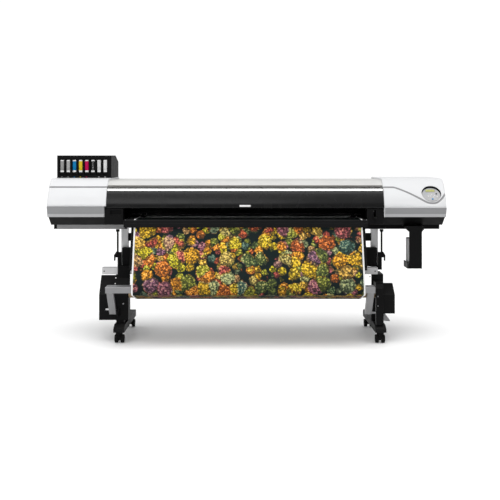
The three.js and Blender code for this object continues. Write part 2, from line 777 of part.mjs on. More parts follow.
function controlPanelGeometry() {
  const rim = 2.5;
  const cupHeight = FACE_DEPTH + FACE_THICKNESS - 8;
  const cup = extruded(ellipse(PANEL.halfWidth - GAP, PANEL.halfHeight - GAP), cupHeight, 40)
    .translate(0, 0, -FACE_DEPTH - FACE_THICKNESS);
  const hollow = extruded(ellipse(PANEL.halfWidth - GAP - rim, PANEL.halfHeight - GAP - rim), FAR, 40)
    .translate(0, 0, -FACE_DEPTH);
  const holes = Object.values(BUTTONS).map(({ across, up, radius }) =>
    buttonGeometry(radius + 0.5, FAR).translate(across, up, -FACE_DEPTH),
  );
  return cut(cup, hollow, ...holes);
}
part("control_panel", controlPanelGeometry(), PANEL_GREY, panel);

for (const [name, { across, up, radius, material }] of Object.entries(BUTTONS)) {
  const length = BUTTON_HEIGHT + FACE_THICKNESS + 2;
  const button = part(name, buttonGeometry(radius, length), material, panel);
  button.position.set(across, up, BUTTON_HEIGHT - FACE_DEPTH - length / 2);
}

// ---------------------------------------------------------------- waste bottle
const GUARD = { left: 1170, right: 1262, front: 50, rear: 210, bottom: 528, top: 803 };

function bottleGuardGeometry() {
  const { left, right, front, rear, bottom, top } = GUARD;
  const sheath = block([left, right], [front, rear], [bottom, top]);
  const inside = block([left - FAR, right - SHELL], [front + SHELL, rear + FAR], [bottom + SHELL, top + FAR]);
  const rim = block([left - 12, left - 12 + SHELL], [front + SHELL, rear], [bottom, bottom + 46]);
  const floor = block([left - 12, left + 1], [front + SHELL, rear], [bottom, bottom + SHELL]);
  const flare = alongY(
    [[left, 792], [right, 792], [1281, 816], [1281, 828], [1144, 828], [1144, 816]],
    front,
    front + SHELL,
  );
  const flangeTop = block([1144, 1281], [front, rear], [826, 832]);
  const neckHole = rodZ(24, 1212, 130, 700, 900, 20);
  return joined(cut(sheath, inside), rim, floor, flare, cut(flangeTop, neckHole));
}
part("bottle_guard", bottleGuardGeometry(), BLACK);

function drainBottleGeometry() {
  const body = block([1172, 1252], [60, 202], [534, 742]);
  const neck = rodZ(18, 1212, 130, 741, 800, 20);
  const collar = rodZ(22, 1212, 130, 796, 822, 20);
  return joined(body, neck, collar);
}
part("drain_bottle", drainBottleGeometry(), BOTTLE_GREY);

// ---------------------------------------------------------------- take-up unit
const TAKE_UP_BEAM = { left: -1058, right: 958, front: 150, rear: 212, bottom: 474, top: 523 };

function takeUpBeamGeometry() {
  const { left, right, front, rear, bottom, top } = TAKE_UP_BEAM;
  const tube = block([left, right], [front, rear], [bottom, top]);
  const bore = block([left - FAR, right + FAR], [front + PLATE, rear - PLATE], [bottom + PLATE, top - PLATE]);
  return cut(tube, bore);
}
part("take_up_beam", takeUpBeamGeometry(), LIGHT_GREY);

const STUB_LENGTH = 18;

// The tool that bores the drive's and the holder's bearings for the take-up roll's stubs.
function takeUpBearings() {
  const depth = STUB_LENGTH + 2;
  return rodX(TAKE_UP.stubRadius + 0.5, TAKE_UP.left - depth, TAKE_UP.right + depth, TAKE_UP.y, TAKE_UP.z, 28);
}

function takeUpDriveGeometry() {
  const left = -1063;
  const housing = alongX(
    [[50, 158], [POST.front - GAP, 158], [POST.front - GAP, 468], [154, 468, 4], [50, 340, 6]],
    left,
    -852,
  );
  const pedestal = block([-940, -885], [60, 150], [FOOT.top + GAP, 160]);
  const beamPlate = block([-942, -852.5], [138, TAKE_UP_BEAM.front - GAP], [440, 535]);
  const lugLeft = TENSION.left + TENSION.armWidth + 1;
  const lug = alongX([[4, 196, 6], [52, 186], [52, 246], [4, 236, 6]], lugLeft, lugLeft + 16);
  const pinHole = rodX(TENSION.pinRadius + 0.5, lugLeft - 5, lugLeft + 30, TENSION.pivotY, TENSION.pivotZ, 16);
  return joined(cut(housing, takeUpBearings()), pedestal, beamPlate, cut(lug, pinHole));
}
part("take_up_drive", takeUpDriveGeometry(), BLACK);

function takeUpHolderGeometry() {
  const upright = alongX([[0, FOOT.top + GAP], [42, FOOT.top + GAP], [42, 430], [0, 392]], 925, 978);
  const arm = block([925, 978], [30, 144], [392, 430]);
  const housing = alongX(
    [[20, 210], [POST.front - GAP, 210], [POST.front - GAP, 411], [120, 411, 6], [20, 345, 6]],
    976,
    1062,
  );
  const pinHole = rodX(TENSION.pinRadius + 0.5, 900, 960, TENSION.pivotY, TENSION.pivotZ, 16);
  return joined(cut(upright, pinHole), arm, cut(housing, takeUpBearings()));
}
part("take_up_holder", takeUpHolderGeometry(), BLACK);

// Dancer frame: a channel across the web and two arms, its origin at the pivot.
function tensionArmGeometry() {
  const { front, rear, bottom, top } = TENSION_BAR;
  const channel = alongX(
    [[front, bottom], [rear, bottom], [rear, bottom + PLATE], [front + PLATE, bottom + PLATE],
      [front + PLATE, top - PLATE], [rear, top - PLATE], [rear, top], [front, top, 6]],
    TENSION.left,
    TENSION.right,
  );
  const arm = [[TENSION.pivotY - 12, TENSION.pivotZ - 12, 8], [TENSION.pivotY + 12, TENSION.pivotZ - 8, 8],
    [TENSION.pivotY + 10, TENSION.pivotZ + 14, 6], [-118, top - 4], [-172, top - 4], [-172, bottom + 2],
    [-140, bottom + 2]];
  const leftInner = TENSION.left + TENSION.armWidth;
  const rightInner = TENSION.right - TENSION.armWidth;
  const arms = [alongX(arm, TENSION.left, leftInner), alongX(arm, rightInner, TENSION.right)];
  const pins = [
    rodX(TENSION.pinRadius, leftInner - 1, leftInner + 14, TENSION.pivotY, TENSION.pivotZ, 16),
    rodX(TENSION.pinRadius, TENSION.right - 1, 950, TENSION.pivotY, TENSION.pivotZ, 16),
  ];
  return joined(channel, ...arms, ...pins).translate(0, -TENSION.pivotY, -TENSION.pivotZ);
}
part("tension_arm", tensionArmGeometry(), MID_GREY).position.set(0, TENSION.pivotY, TENSION.pivotZ);

// Media wound on a core, as [radius, x] points along its outside.
function woundProfile({ tubeRadius, rollRadius, left, right }) {
  return [[tubeRadius, left], [tubeRadius, WEB.left], [rollRadius, WEB.left], [rollRadius, WEB.right],
    [tubeRadius, WEB.right], [tubeRadius, right]];
}

// The take-up core is closed by end plugs, whose stubs turn in the drive and in the holder.
function takeUpRollGeometry() {
  const { left, right, stubRadius } = TAKE_UP;
  const [stubLeft, stubRight] = [left - STUB_LENGTH, right + STUB_LENGTH];
  const profile = [[0, stubLeft], [stubRadius, stubLeft], [stubRadius, left], ...woundProfile(TAKE_UP),
    [stubRadius, right], [stubRadius, stubRight], [0, stubRight]];
  return turnedX(profile, 0, 0, 28);
}
part("take_up_roll", takeUpRollGeometry(), CARDBOARD).position.set(0, TAKE_UP.y, TAKE_UP.z);

// The feed roll's core is open right through.
function feedRollGeometry() {
  const bore = FEED.tubeRadius - 4;
  return turnedX([[bore, FEED.left], ...woundProfile(FEED), [bore, FEED.right], [bore, FEED.left]], 0, 0, 28);
}
part("feed_roll", feedRollGeometry(), CARDBOARD).position.set(0, FEED.y, FEED.z);

// Rear beam behind the columns with a cradle arm under each end of the feed roll.
function rollCarrierGeometry() {
  const beam = block([-935, 979], [COLUMN.rear + GAP, 380], [560, 600]);
  const cradle = [[378, 560], [640, 560, 8], [652, 640], [370, 600]];
  const arms = [-866, 872].map((x) => alongX(cradle, x, x + 16));
  const notch = rodX(FEED.tubeRadius + 0.8, -1000, 1000, FEED.y, FEED.z, 28);
  return cut(joined(beam, ...arms), notch);
}
part("roll_carrier", rollCarrierGeometry(), BLACK);

// ---------------------------------------------------------------- centre the model on its footprint
const bounds = new THREE.Box3().setFromObject(printerCutter);
printerCutter.position.y = -(bounds.min.y + bounds.max.y) / 2;

export default printerCutter;
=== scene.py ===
"""The looks of a wide-format printer cutter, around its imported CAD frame. Metres, +Z up, the front is -Y."""

import math

import bmesh
import bpy
import numpy as np
from mathutils import Matrix, Vector


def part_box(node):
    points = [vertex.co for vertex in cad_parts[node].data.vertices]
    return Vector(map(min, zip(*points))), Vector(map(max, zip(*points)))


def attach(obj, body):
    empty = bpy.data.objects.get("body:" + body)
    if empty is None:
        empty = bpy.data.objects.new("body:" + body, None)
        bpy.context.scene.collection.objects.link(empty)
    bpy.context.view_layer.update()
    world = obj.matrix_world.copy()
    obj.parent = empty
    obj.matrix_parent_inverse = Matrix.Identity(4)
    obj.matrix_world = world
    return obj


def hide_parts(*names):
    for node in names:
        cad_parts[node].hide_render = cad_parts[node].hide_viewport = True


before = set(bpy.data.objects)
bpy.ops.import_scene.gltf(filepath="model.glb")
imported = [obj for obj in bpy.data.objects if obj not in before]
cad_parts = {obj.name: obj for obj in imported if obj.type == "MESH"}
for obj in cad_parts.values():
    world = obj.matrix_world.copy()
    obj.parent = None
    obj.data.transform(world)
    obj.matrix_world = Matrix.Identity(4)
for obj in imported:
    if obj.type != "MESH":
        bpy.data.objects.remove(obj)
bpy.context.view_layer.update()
scene = bpy.context.scene

# ---------------------------------------------------------------- places
MM = 0.001
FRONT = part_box("left_cover")[0].y  # the end covers' front line, where the machine's own depth starts
LEFT_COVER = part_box("left_cover")
RIGHT_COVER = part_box("right_cover")


def at(x, y, z):
    """A place in the machine's own millimetres, with depth counted from the end covers' front line."""
    return Vector((x * MM, FRONT + y * MM, z * MM))


# ---------------------------------------------------------------- node trees
class Nodes:
    """A node tree, with short ways to add nodes that are linked to each other."""

    def __init__(self, tree):
        self.tree = tree

    def node(self, kind, inputs=(), **settings):
        made = self.tree.nodes.new(kind)
        for key, value in settings.items():
            setattr(made, key, value)
        for socket, value in dict(inputs).items():
            if isinstance(value, bpy.types.NodeSocket):
                self.tree.links.new(value, made.inputs[socket])
            else:
                made.inputs[socket].default_value = value
        return made

    def math(self, operation, first, second=0.0):
        return self.node("ShaderNodeMath", {0: first, 1: second}, operation=operation).outputs[0]

    def axis(self, vector, name):
        return self.node("ShaderNodeSeparateXYZ", {0: vector}).outputs[name]

    def remap(self, value, low, high, to_low, to_high):
        inputs = {"Value": value, "From Min": low, "From Max": high, "To Min": to_low, "To Max": to_high}
        return self.node("ShaderNodeMapRange", inputs).outputs["Result"]


class Surface(Nodes):
    """A procedural material: colour, roughness and bump come from noise in the object's own coordinates."""

    def __init__(self, name, roughness, metallic=0.0, **sockets):
        self.material = bpy.data.materials.new(name)
        self.material.use_nodes = True
        super().__init__(self.material.node_tree)
        self.shader = self.tree.nodes["Principled BSDF"]
        self.shader.inputs["Roughness"].default_value = roughness
        self.shader.inputs["Metallic"].default_value = metallic
        for socket, value in sockets.items():
            self.shader.inputs[socket.replace("_", " ")].default_value = value
        self.place = self.node("ShaderNodeTexCoord").outputs["Object"]

    def link(self, output, socket):
        self.tree.links.new(output, self.shader.inputs[socket])

    def stretched(self, scale):
        return self.node("ShaderNodeMapping", {"Vector": self.place, "Scale": scale}).outputs[0]

    def noise(self, scale, detail=3.0, place=None, distortion=0.0):
        inputs = {"Vector": place or self.place, "Scale": scale, "Detail": detail, "Distortion": distortion}
        return self.node("ShaderNodeTexNoise", inputs).outputs["Fac"]

    def vector(self, operation, first, second, output="Vector"):
        return self.node("ShaderNodeVectorMath", {0: first, 1: second}, operation=operation).outputs[output]

    def wave(self, place, scale, distortion=0.0, **settings):
        inputs = {"Vector": place, "Scale": scale, "Distortion": distortion}
        return self.node("ShaderNodeTexWave", inputs, **settings).outputs["Fac"]

    def ramp(self, value, stops, interpolation="LINEAR"):
        made = self.node("ShaderNodeValToRGB", {"Fac": value})
        made.color_ramp.interpolation = interpolation
        elements = made.color_ramp.elements
        while len(elements) < len(stops):
            elements.new(0.5)
        for element, (position, colour) in zip(elements, stops):
            element.position = position
            element.color = (*colour, 1)
        return made.outputs["Color"]

    def mix(self, factor, first, second, blend="MIX"):
        made = self.node("ShaderNodeMix", data_type="RGBA", blend_type=blend)
        for socket, value in ((0, factor), (6, first), (7, second)):
            if isinstance(value, bpy.types.NodeSocket):
                self.tree.links.new(value, made.inputs[socket])
            else:
                made.inputs[socket].default_value = value if socket == 0 else (*value, 1)
        return made.outputs[2]

    def bump(self, height, strength, distance):
        inputs = {"Height": height, "Strength": strength, "Distance": distance}
        self.link(self.node("ShaderNodeBump", inputs).outputs[0], "Normal")


# ---------------------------------------------------------------- camera and light
def add_camera():
    data = bpy.data.cameras.new("camera")
    data.lens = 64.5
    data.sensor_width = 36
    data.shift_x = 0.0066
    data.shift_y = -0.188
    camera = bpy.data.objects.new("camera", data)
    camera.location = (0, FRONT - 6.4, 1.339)
    camera.rotation_euler = (math.radians(90), 0, 0)
    scene.collection.objects.link(camera)
    scene.camera = camera


def add_light(name, location, target, size, power):
    data = bpy.data.lights.new(name, "AREA")
    data.shape = "RECTANGLE"
    data.size, data.size_y = size
    data.energy = power
    light = bpy.data.objects.new(name, data)
    light.location = location
    light.rotation_euler = (Vector(target) - Vector(location)).to_track_quat("-Z", "Y").to_euler()
    scene.collection.objects.link(light)


def add_world():
    """A white studio: a bright ceiling and backdrop, and darker walls at the sides and in front."""
    world = bpy.data.worlds.new("studio")
    scene.world = world
    world.use_nodes = True
    world.node_tree.nodes.clear()
    nodes = Nodes(world.node_tree)
    direction = nodes.node("ShaderNodeTexCoord").outputs["Generated"]
    overhead = nodes.remap(nodes.axis(direction, "Z"), 0.05, 0.6, 0.05, 0.92)
    backdrop = nodes.remap(nodes.axis(direction, "Y"), 0.35, 0.85, 0.0, 0.75)
    brighter = nodes.math("MAXIMUM", overhead, backdrop)
    lighting = nodes.node("ShaderNodeBackground", {"Color": brighter}).outputs[0]
    seen = nodes.node("ShaderNodeBackground", {"Color": (1, 1, 1, 1), "Strength": 1.05}).outputs[0]
    camera_ray = nodes.node("ShaderNodeLightPath").outputs["Is Camera Ray"]
    mixed = nodes.node("ShaderNodeMixShader", {0: camera_ray, 1: lighting, 2: seen}).outputs[0]
    nodes.node("ShaderNodeOutputWorld", {"Surface": mixed})


def add_ceiling_light():
    """A very broad light from above and a little in front, which leaves a soft shadow under the machine."""
    data = bpy.data.lights.new("ceiling", "SUN")
    data.energy = 1.6
    data.angle = math.radians(50)
    light = bpy.data.objects.new("ceiling", data)
    light.location = (0, -0.8, 4)
    light.rotation_euler = (math.radians(16), 0, 0)
    scene.collection.objects.link(light)


add_camera()
add_world()
add_ceiling_light()
add_light("front", (-1.3, -4.6, 3.4), (0, 0, 0.9), (3.6, 2.0), 60)
scene.view_settings.view_transform = "Standard"


# ---------------------------------------------------------------- materials
def shade(colour, factor):
    return tuple(min(1.0, c * factor) for c in colour)


def finish(
    name, colour, roughness, metallic=0.0, spread=0.06, grain=(900, 0.05), dust=0.0, wear=None, **rest
):
    """A moulded or painted surface: soft blotches, uneven gloss, a fine grain, and dust or rubbed edges."""
    surface = Surface(name, roughness, metallic, **rest)
    blotch = surface.noise(3.1, detail=4)
    base = surface.mix(blotch, shade(colour, 1 - spread), shade(colour, 1 + spread))
    speckle = surface.noise(grain[0] * 0.4, detail=1)
    base = surface.mix(surface.remap(speckle, 0.35, 0.75, 0.0, 0.25), base, shade(colour, 1 - 2 * spread))
    if dust:
        upward = surface.axis(surface.node("ShaderNodeNewGeometry").outputs["Normal"], "Z")
        settled = surface.remap(upward, 0.3, 1.0, 0.0, dust)
        patchy = surface.math("MULTIPLY", surface.noise(14, detail=5), settled)
        base = surface.mix(patchy, base, (0.42, 0.41, 0.39))
    if wear:
        rounded = surface.node("ShaderNodeBevel", {"Radius": 0.0025}, samples=3).outputs[0]
        true = surface.node("ShaderNodeNewGeometry").outputs["Normal"]
        edge = surface.remap(surface.vector("DOT_PRODUCT", rounded, true, "Value"), 0.995, 0.9, 0.0, 1.0)
        scuffs = surface.remap(surface.noise(26, detail=6), 0.5, 0.68, 0.0, 0.75)
        base = surface.mix(surface.math("MULTIPLY", edge, scuffs), base, wear)
    surface.link(base, "Base Color")
    smudge = surface.noise(9, detail=6, distortion=0.6)
    surface.link(surface.remap(smudge, 0.3, 0.7, roughness - 0.05, roughness + 0.06), "Roughness")
    surface.bump(surface.noise(grain[0], detail=2), grain[1], 0.0004)
    return surface.material


def brushed(name, colour, roughness, along, metallic=1.0, spread=0.08):
    """Brushed or ground metal, with its marks stretched along one axis."""
    surface = Surface(name, roughness, metallic)
    stretch = [600.0, 600.0, 600.0]
    stretch[along] = 6.0
    marks = surface.noise(1.0, detail=4, place=surface.stretched(stretch))
    base = surface.mix(marks, shade(colour, 1 - spread), shade(colour, 1 + spread))
    stain = surface.remap(surface.noise(5, detail=6), 0.45, 0.75, 0.0, 0.3)
    surface.link(surface.mix(stain, base, shade(colour, 0.8)), "Base Color")
    surface.link(surface.remap(marks, 0.3, 0.7, roughness - 0.06, roughness + 0.08), "Roughness")
    surface.bump(marks, 0.12, 0.0002)
    return surface.material


AUTUMN = [
    (0.00, (0.10, 0.16, 0.07)),
    (0.07, (0.30, 0.32, 0.05)),
    (0.17, (0.70, 0.60, 0.03)),
    (0.28, (0.90, 0.56, 0.03)),
    (0.42, (0.92, 0.38, 0.03)),
    (0.54, (0.80, 0.20, 0.04)),
    (0.63, (0.62, 0.10, 0.06)),
    (0.71, (0.66, 0.16, 0.16)),
    (0.79, (0.34, 0.16, 0.24)),
    (0.87, (0.85, 0.50, 0.06)),
    (0.94, (0.42, 0.46, 0.20)),
    (1.00, (0.10, 0.20, 0.16)),
]


# Places along the print, in metres from its first line. Painted shade: the print is painted near-black from
# its first line to the first place, where the web runs in under the covers, and it darkens between the second
# and the third place, at its bend round the tension bar, and stays so beyond, on to the take-up roll.
PAINTED_SHADE_ALONG_PRINT = {"starts": -0.24, "bend_shade_starts": -0.60, "ends": -0.80}


def autumn_print(name):
    """Printed vinyl with a generic picture of autumn tree crowns from above, laid out on the flat sheet."""
    surface = Surface(name, 0.55, Specular_IOR_Level=0.03)
    flat = surface.node("ShaderNodeAttribute", attribute_name="flat_place").outputs["Vector"]
    inputs = {"Vector": flat, "Scale": 48.0, "Detail": 3.0}
    ragged = surface.node("ShaderNodeTexNoise", inputs).outputs["Color"]
    nudge = surface.vector("MULTIPLY", surface.vector("ADD", ragged, (-0.5, -0.5, -0.5)), (0.02, 0.02, 0.02))
    place = surface.vector("ADD", flat, nudge)

    def crowns(scale, randomness, radius):
        """Round crowns in random cells: their chances, their outline and the light on their domes."""
        inputs = {"Vector": place, "Scale": scale, "Randomness": randomness}
        cell = surface.node("ShaderNodeTexVoronoi", inputs)
        gap = surface.node("ShaderNodeTexVoronoi", inputs, feature="DISTANCE_TO_EDGE").outputs["Distance"]
        chance = surface.node("ShaderNodeSeparateColor", {0: cell.outputs["Color"]}).outputs
        across = surface.vector("SUBTRACT", place, cell.outputs["Position"])
        lit = surface.vector("DOT_PRODUCT", across, (-0.35 * scale, 0.8 * scale, 0.0), "Value")
        reach = cell.outputs["Distance"]
        crown = surface.remap(reach, radius, radius + 0.08, 1.0, 0.0)
        crown = surface.math("MULTIPLY", crown, surface.remap(gap, 0.0, 0.06, 0.25, 1.0))
        dome = surface.remap(reach, 0.0, radius, 1.45, 0.8)
        side = surface.remap(lit, -0.4, 0.4, 0.6, 1.5)
        return chance, crown, surface.math("MULTIPLY", dome, side)

    chance, crown, light = crowns(9.6, 0.78, 0.54)
    small_chance, small_crown, small_light = crowns(17.0, 0.9, 0.52)
    small_light = surface.math("MULTIPLY", surface.math("MULTIPLY", small_light, small_crown), 0.8)
    shown = surface.math("MULTIPLY", crown, surface.math("LESS_THAN", chance["Green"], 0.84))
    hue = surface.mix(shown, surface.ramp(small_chance["Red"], AUTUMN), surface.ramp(chance["Red"], AUTUMN))
    light = surface.node("ShaderNodeMix", {0: shown, 2: small_light, 3: light}).outputs[0]
    tufts = surface.node("ShaderNodeTexVoronoi", {"Vector": place, "Scale": 60.0}).outputs["Distance"]
    leaves = surface.noise(105.0, 2.0, place)
    for factor in (
        surface.remap(tufts, 0.10, 0.62, 1.9, 0.25),
        surface.remap(leaves, 0.38, 0.56, 0.15, 1.25),
        surface.remap(chance["Blue"], 0.0, 1.0, 0.7, 1.4),
    ):
        light = surface.math("MULTIPLY", light, factor)
    picture = surface.mix(surface.remap(light, 0.0, 1.1, 0.0, 1.0), (0.010, 0.016, 0.016), hue)
    picture = surface.mix(surface.remap(light, 1.1, 2.6, 0.0, 0.5), picture, (1.0, 0.80, 0.30))
    along = surface.axis(flat, "Y")
    # Painted shade: near-black under the covers, and darker from the bend round the tension bar on.
    bend_shade = surface.remap(along, PAINTED_SHADE_ALONG_PRINT["bend_shade_starts"], PAINTED_SHADE_ALONG_PRINT["ends"], 0.0, 0.6)
    painted_shade = surface.math("MAXIMUM", bend_shade, surface.math("GREATER_THAN", along, PAINTED_SHADE_ALONG_PRINT["starts"]))
    picture = surface.mix(painted_shade, picture, (0.004, 0.005, 0.005))

    middle = (WEB.right + WEB.left) / 2 * MM
    off_centre = surface.math("ABSOLUTE", surface.math("SUBTRACT", surface.axis(flat, "X"), middle))
    inside = surface.math("LESS_THAN", off_centre, (WEB.right - WEB.left) / 2 * MM - WEB.margin)
    inked = surface.math("MULTIPLY", inside, surface.math("LESS_THAN", along, 0.0))
    paper = surface.mix(surface.noise(4, detail=5), (0.80, 0.80, 0.79), (0.86, 0.86, 0.86))
    surface.link(surface.mix(inked, paper, picture), "Base Color")
    surface.link(surface.remap(light, 0.0, 1.0, 0.6, 0.5), "Roughness")
    surface.bump(surface.noise(700, detail=2), 0.03, 0.0003)
    return surface.material


class WEB:
    """The printed web's edges, in millimetres, and its line from the feed roll to the take-up roll."""

    left = -802
    right = 824
    line = [
        (551, 640),
        (392, 860, 30),
        (350, 887.2, 12),
        (-30, 887.2, 10),
        (-34, 826, 14),
        (-186.5, 440, 16),
        (-187.5, 374, 14),
        (75, 305.5),
    ]
    thickness = 0.5
    print_starts = 200  # depth of the print heads, upstream of which the web is blank
    margin = 0.011  # width of the blank edge beside the print, in metres


DULL = {"Specular_IOR_Level": 0.06}
FINE = (1400, 0.15)  # the grain of a smooth metal coat
SATIN = (1500, 0.04)
MOULDED = (900, 0.12)


def black(name, tone, roughness, grain, worn, dust=0.02):
    """A dull black finish whose edges are rubbed to a dark grey."""
    colour = (tone, tone, tone * 1.04)
    return finish(name, colour, roughness, grain=grain, dust=dust, wear=(worn, worn, worn), **DULL)


def grey_coat(name, tone, roughness, worn, metallic=0.2):
    colour = (tone, tone, tone + 0.005)
    return finish(name, colour, roughness, metallic, grain=FINE, wear=(worn, worn, worn))


WHITE = finish(
    "white_moulding", (0.615, 0.62, 0.63), 0.4, spread=0.02, grain=(1300, 0.03), Specular_IOR_Level=0.35
)
# Painted shade: the floor of the groove along each end cover's seam is painted grey for the shade in it.
SEAM_PAINTED_SHADE = finish("seam_groove_painted_shade", (0.26, 0.26, 0.265), 0.6, spread=0.1)
# Painted highlight: a lighter copy of the grey band paint, for the light along the bands' lower lip.
LIP_PAINTED_HIGHLIGHT = finish("band_lip_painted_highlight", (0.36, 0.363, 0.37), 0.42, metallic=0.3, spread=0.04, grain=SATIN)
BAND_GREY = finish("band_grey_paint", (0.225, 0.228, 0.233), 0.42, metallic=0.3, spread=0.04, grain=SATIN)
BLACK_PLASTIC = black("black_moulding", 0.005, 0.5, MOULDED, 0.05)
BLACK_METAL = black("black_powder_coat", 0.0045, 0.46, (1400, 0.2), 0.06)
FOOT_BLACK = black("foot_casting", 0.0085, 0.5, (700, 0.25), 0.08, dust=0.05)
GUIDE_BLACK = black("guide_black", 0.007, 0.4, (1200, 0.06), 0.05, dust=0.0)
HUB = black("caster_hub", 0.012, 0.4, (900, 0.1), 0.1, dust=0.0)
RUBBER = finish("rubber", (0.007, 0.007, 0.007), 0.72, spread=0.15, grain=(500, 0.3), dust=0.08, **DULL)
GLOSS_BLACK = finish(
    "gloss_black", (0.006, 0.006, 0.0063), 0.26, spread=0.1, grain=(60, 0.01), Specular_IOR_Level=0.19
)
SILVER = brushed("satin_silver", (0.56, 0.56, 0.545), 0.4, along=0, metallic=0.35, spread=0.04)
BRIGHT = brushed("bright_trim", (0.60, 0.60, 0.59), 0.25, along=0, metallic=0.4, spread=0.03)
STRIP_GREY = brushed("grey_strip", (0.30, 0.30, 0.305), 0.45, along=0, metallic=0.2)
LIP_GREY = brushed("lip_grey", (0.10, 0.095, 0.085), 0.45, along=0, metallic=0.3)
# Painted light: the columns stand in shade, so they get a lighter copy of the light grey coat.
COLUMN_COAT_PAINTED_LIGHT = grey_coat("column_coat", 0.80, 0.42, 0.85)
LIGHT_METAL = grey_coat("light_grey_coat", 0.58, 0.42, 0.7)
MID_METAL = grey_coat("mid_grey_coat", 0.22, 0.36, 0.5, metallic=0.3)
STEEL = brushed("machined_steel", (0.50, 0.51, 0.52), 0.34, along=0)
DARK_STEEL = brushed("blackened_steel", (0.035, 0.035, 0.036), 0.4, along=0, metallic=0.7)
PLATEN = brushed("black_anodised", (0.012, 0.012, 0.0125), 0.45, along=0, metallic=0.3)
SCREW = brushed("screw_steel", (0.42, 0.42, 0.43), 0.3, along=2)
BOARD = finish("core_board", (0.36, 0.26, 0.15), 0.8, spread=0.15, grain=(300, 0.4))
BOTTLE = finish("bottle_plastic", (0.20, 0.205, 0.21), 0.42, grain=(800, 0.06), Subsurface_Weight=0.1)
VINYL = finish("blank_vinyl", (0.82, 0.82, 0.815), 0.4, spread=0.02, grain=(700, 0.03))
PANEL_GREY = finish("panel_face", (0.34, 0.34, 0.345), 0.45, metallic=0.2, spread=0.04, grain=(1500, 0.05))
BUTTON_DARK = finish("button_dark", (0.03, 0.033, 0.036), 0.4)
BUTTON_BLUE = finish("button_blue", (0.03, 0.20, 0.42), 0.32, Coat_Weight=0.3)
BUTTON_WHITE = finish("button_white", (0.62, 0.61, 0.60), 0.4)
LABEL_WHITE = finish("label_white", (0.80, 0.80, 0.80), 0.45, spread=0.03)
PRINT = autumn_print("printed_vinyl")
INKS = {
    "grey": (0.26, 0.26, 0.255),
    "light_black": (0.32, 0.32, 0.315),
    "cyan": (0.004, 0.16, 0.36),
    "yellow": (0.60, 0.44, 0.02),
    "magenta": (0.42, 0.003, 0.07),
    "black": (0.014, 0.014, 0.014),
    "light_grey": (0.56, 0.56, 0.56),
    "pale_grey": (0.62, 0.62, 0.62),
}


# ---------------------------------------------------------------- mesh helpers
def outward_mesh(name, vertices, faces):
    """A mesh whose faces all point outwards."""
    mesh = bpy.data.meshes.new(name)
    mesh.from_pydata([tuple(v) for v in vertices], [], faces)
    made = bmesh.new()
    made.from_mesh(mesh)
    bmesh.ops.recalc_face_normals(made, faces=made.faces)
    made.to_mesh(mesh)
    made.free()
    return mesh


def piece(name, vertices, faces, materials, body, slot=None, replaces=(), indices=None, smooth=True):
    """A mesh piece that rides on a body; indices gives each face's material."""
    mesh = outward_mesh(name, vertices, faces)
    for material in materials:
        mesh.materials.append(material)
    if indices is not None:
        mesh.polygons.foreach_set("material_index", indices)
    mesh.polygons.foreach_set("use_smooth", [smooth] * len(mesh.polygons))
    obj = bpy.data.objects.new(name, mesh)
    scene.collection.objects.link(obj)
    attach(obj, body)
    if replaces:
        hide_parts(*replaces)
    return obj


def lofted(rings, closed=True, caps=True):
    """Vertices and faces of a surface through rings of points."""
    count = len(rings[0])
    vertices = [point for ring in rings for point in ring]
    faces = []
    for i in range(len(rings) - 1):
        for j in range(count if closed else count - 1):
            k = (j + 1) % count
            faces.append((i * count + j, i * count + k, (i + 1) * count + k, (i + 1) * count + j))
    if caps:
        faces.append(tuple(range(count)))
        faces.append(tuple((len(rings) - 1) * count + j for j in range(count)))
    return vertices, faces


def rounded(obj, width, segments=3, angle=32):
    """Rounds hard edges with modifiers, which leave the mesh itself alone."""
    weld = obj.modifiers.new("weld", "WELD")
    weld.merge_threshold = 1e-5
    bevel = obj.modifiers.new("bevel", "BEVEL")
    bevel.width = width
    bevel.segments = segments
    bevel.limit_method = "ANGLE"
    bevel.angle_limit = math.radians(angle)
    bevel.miter_outer = "MITER_ARC"
    normals = obj.modifiers.new("normals", "WEIGHTED_NORMAL")
    normals.keep_sharp = True
    return obj


def bake_modifiers(obj):
    bpy.context.view_layer.update()
    evaluated = obj.evaluated_get(bpy.context.evaluated_depsgraph_get())
    mesh = bpy.data.meshes.new_from_object(evaluated)
    obj.modifiers.clear()
    obj.data = mesh


def cut_out(obj, vertices, faces):
    """Cuts the closed solid of these vertices and faces out of obj."""
    tool = bpy.data.objects.new("tool", outward_mesh("tool", vertices, faces))
    scene.collection.objects.link(tool)
    modifier = obj.modifiers.new("cut", "BOOLEAN")
    modifier.operation = "DIFFERENCE"
    modifier.solver = "EXACT"
    modifier.object = tool
    bake_modifiers(obj)
    bpy.data.objects.remove(tool)


def filleted(points, samples=8):
    """A line of (u, v) points with its corners rounded by their radius."""
    line = []
    for i, (u, v, *radius) in enumerate(points):
        here = Vector((u, v))
        if not radius:
            line.append(here)
            continue
        start = here + (Vector(points[i - 1][:2]) - here).normalized() * radius[0]
        end = here + (Vector(points[i + 1][:2]) - here).normalized() * radius[0]
        for k in range(samples + 1):
            t = k / samples
            line.append(start * (1 - t) ** 2 + here * 2 * t * (1 - t) + end * t**2)
    return line


def tangents(line):
    before = [line[max(i - 1, 0)] for i in range(len(line))]
    after = [line[min(i + 1, len(line) - 1)] for i in range(len(line))]
    return [(b - a).normalized() for a, b in zip(before, after)]


def offset(line, distance):
    """The line moved to its left by distance."""
    return [p + Vector((-t.y, t.x)) * distance for p, t in zip(line, tangents(line))]


def prism_along_x(line, x0, x1):
    """Vertices and faces of the prism through (depth, height) points, between two X places in millimetres."""
    return lofted([[at(x, y, z) for y, z in line] for x in (x0, x1)])


def box(low, high):
    """Vertices and faces of a block between two corners in millimetres."""
    ring = [(low[0], low[1]), (high[0], low[1]), (high[0], high[1]), (low[0], high[1])]
    return lofted([[at(x, y, z) for x, y in ring] for z in (low[2], high[2])])


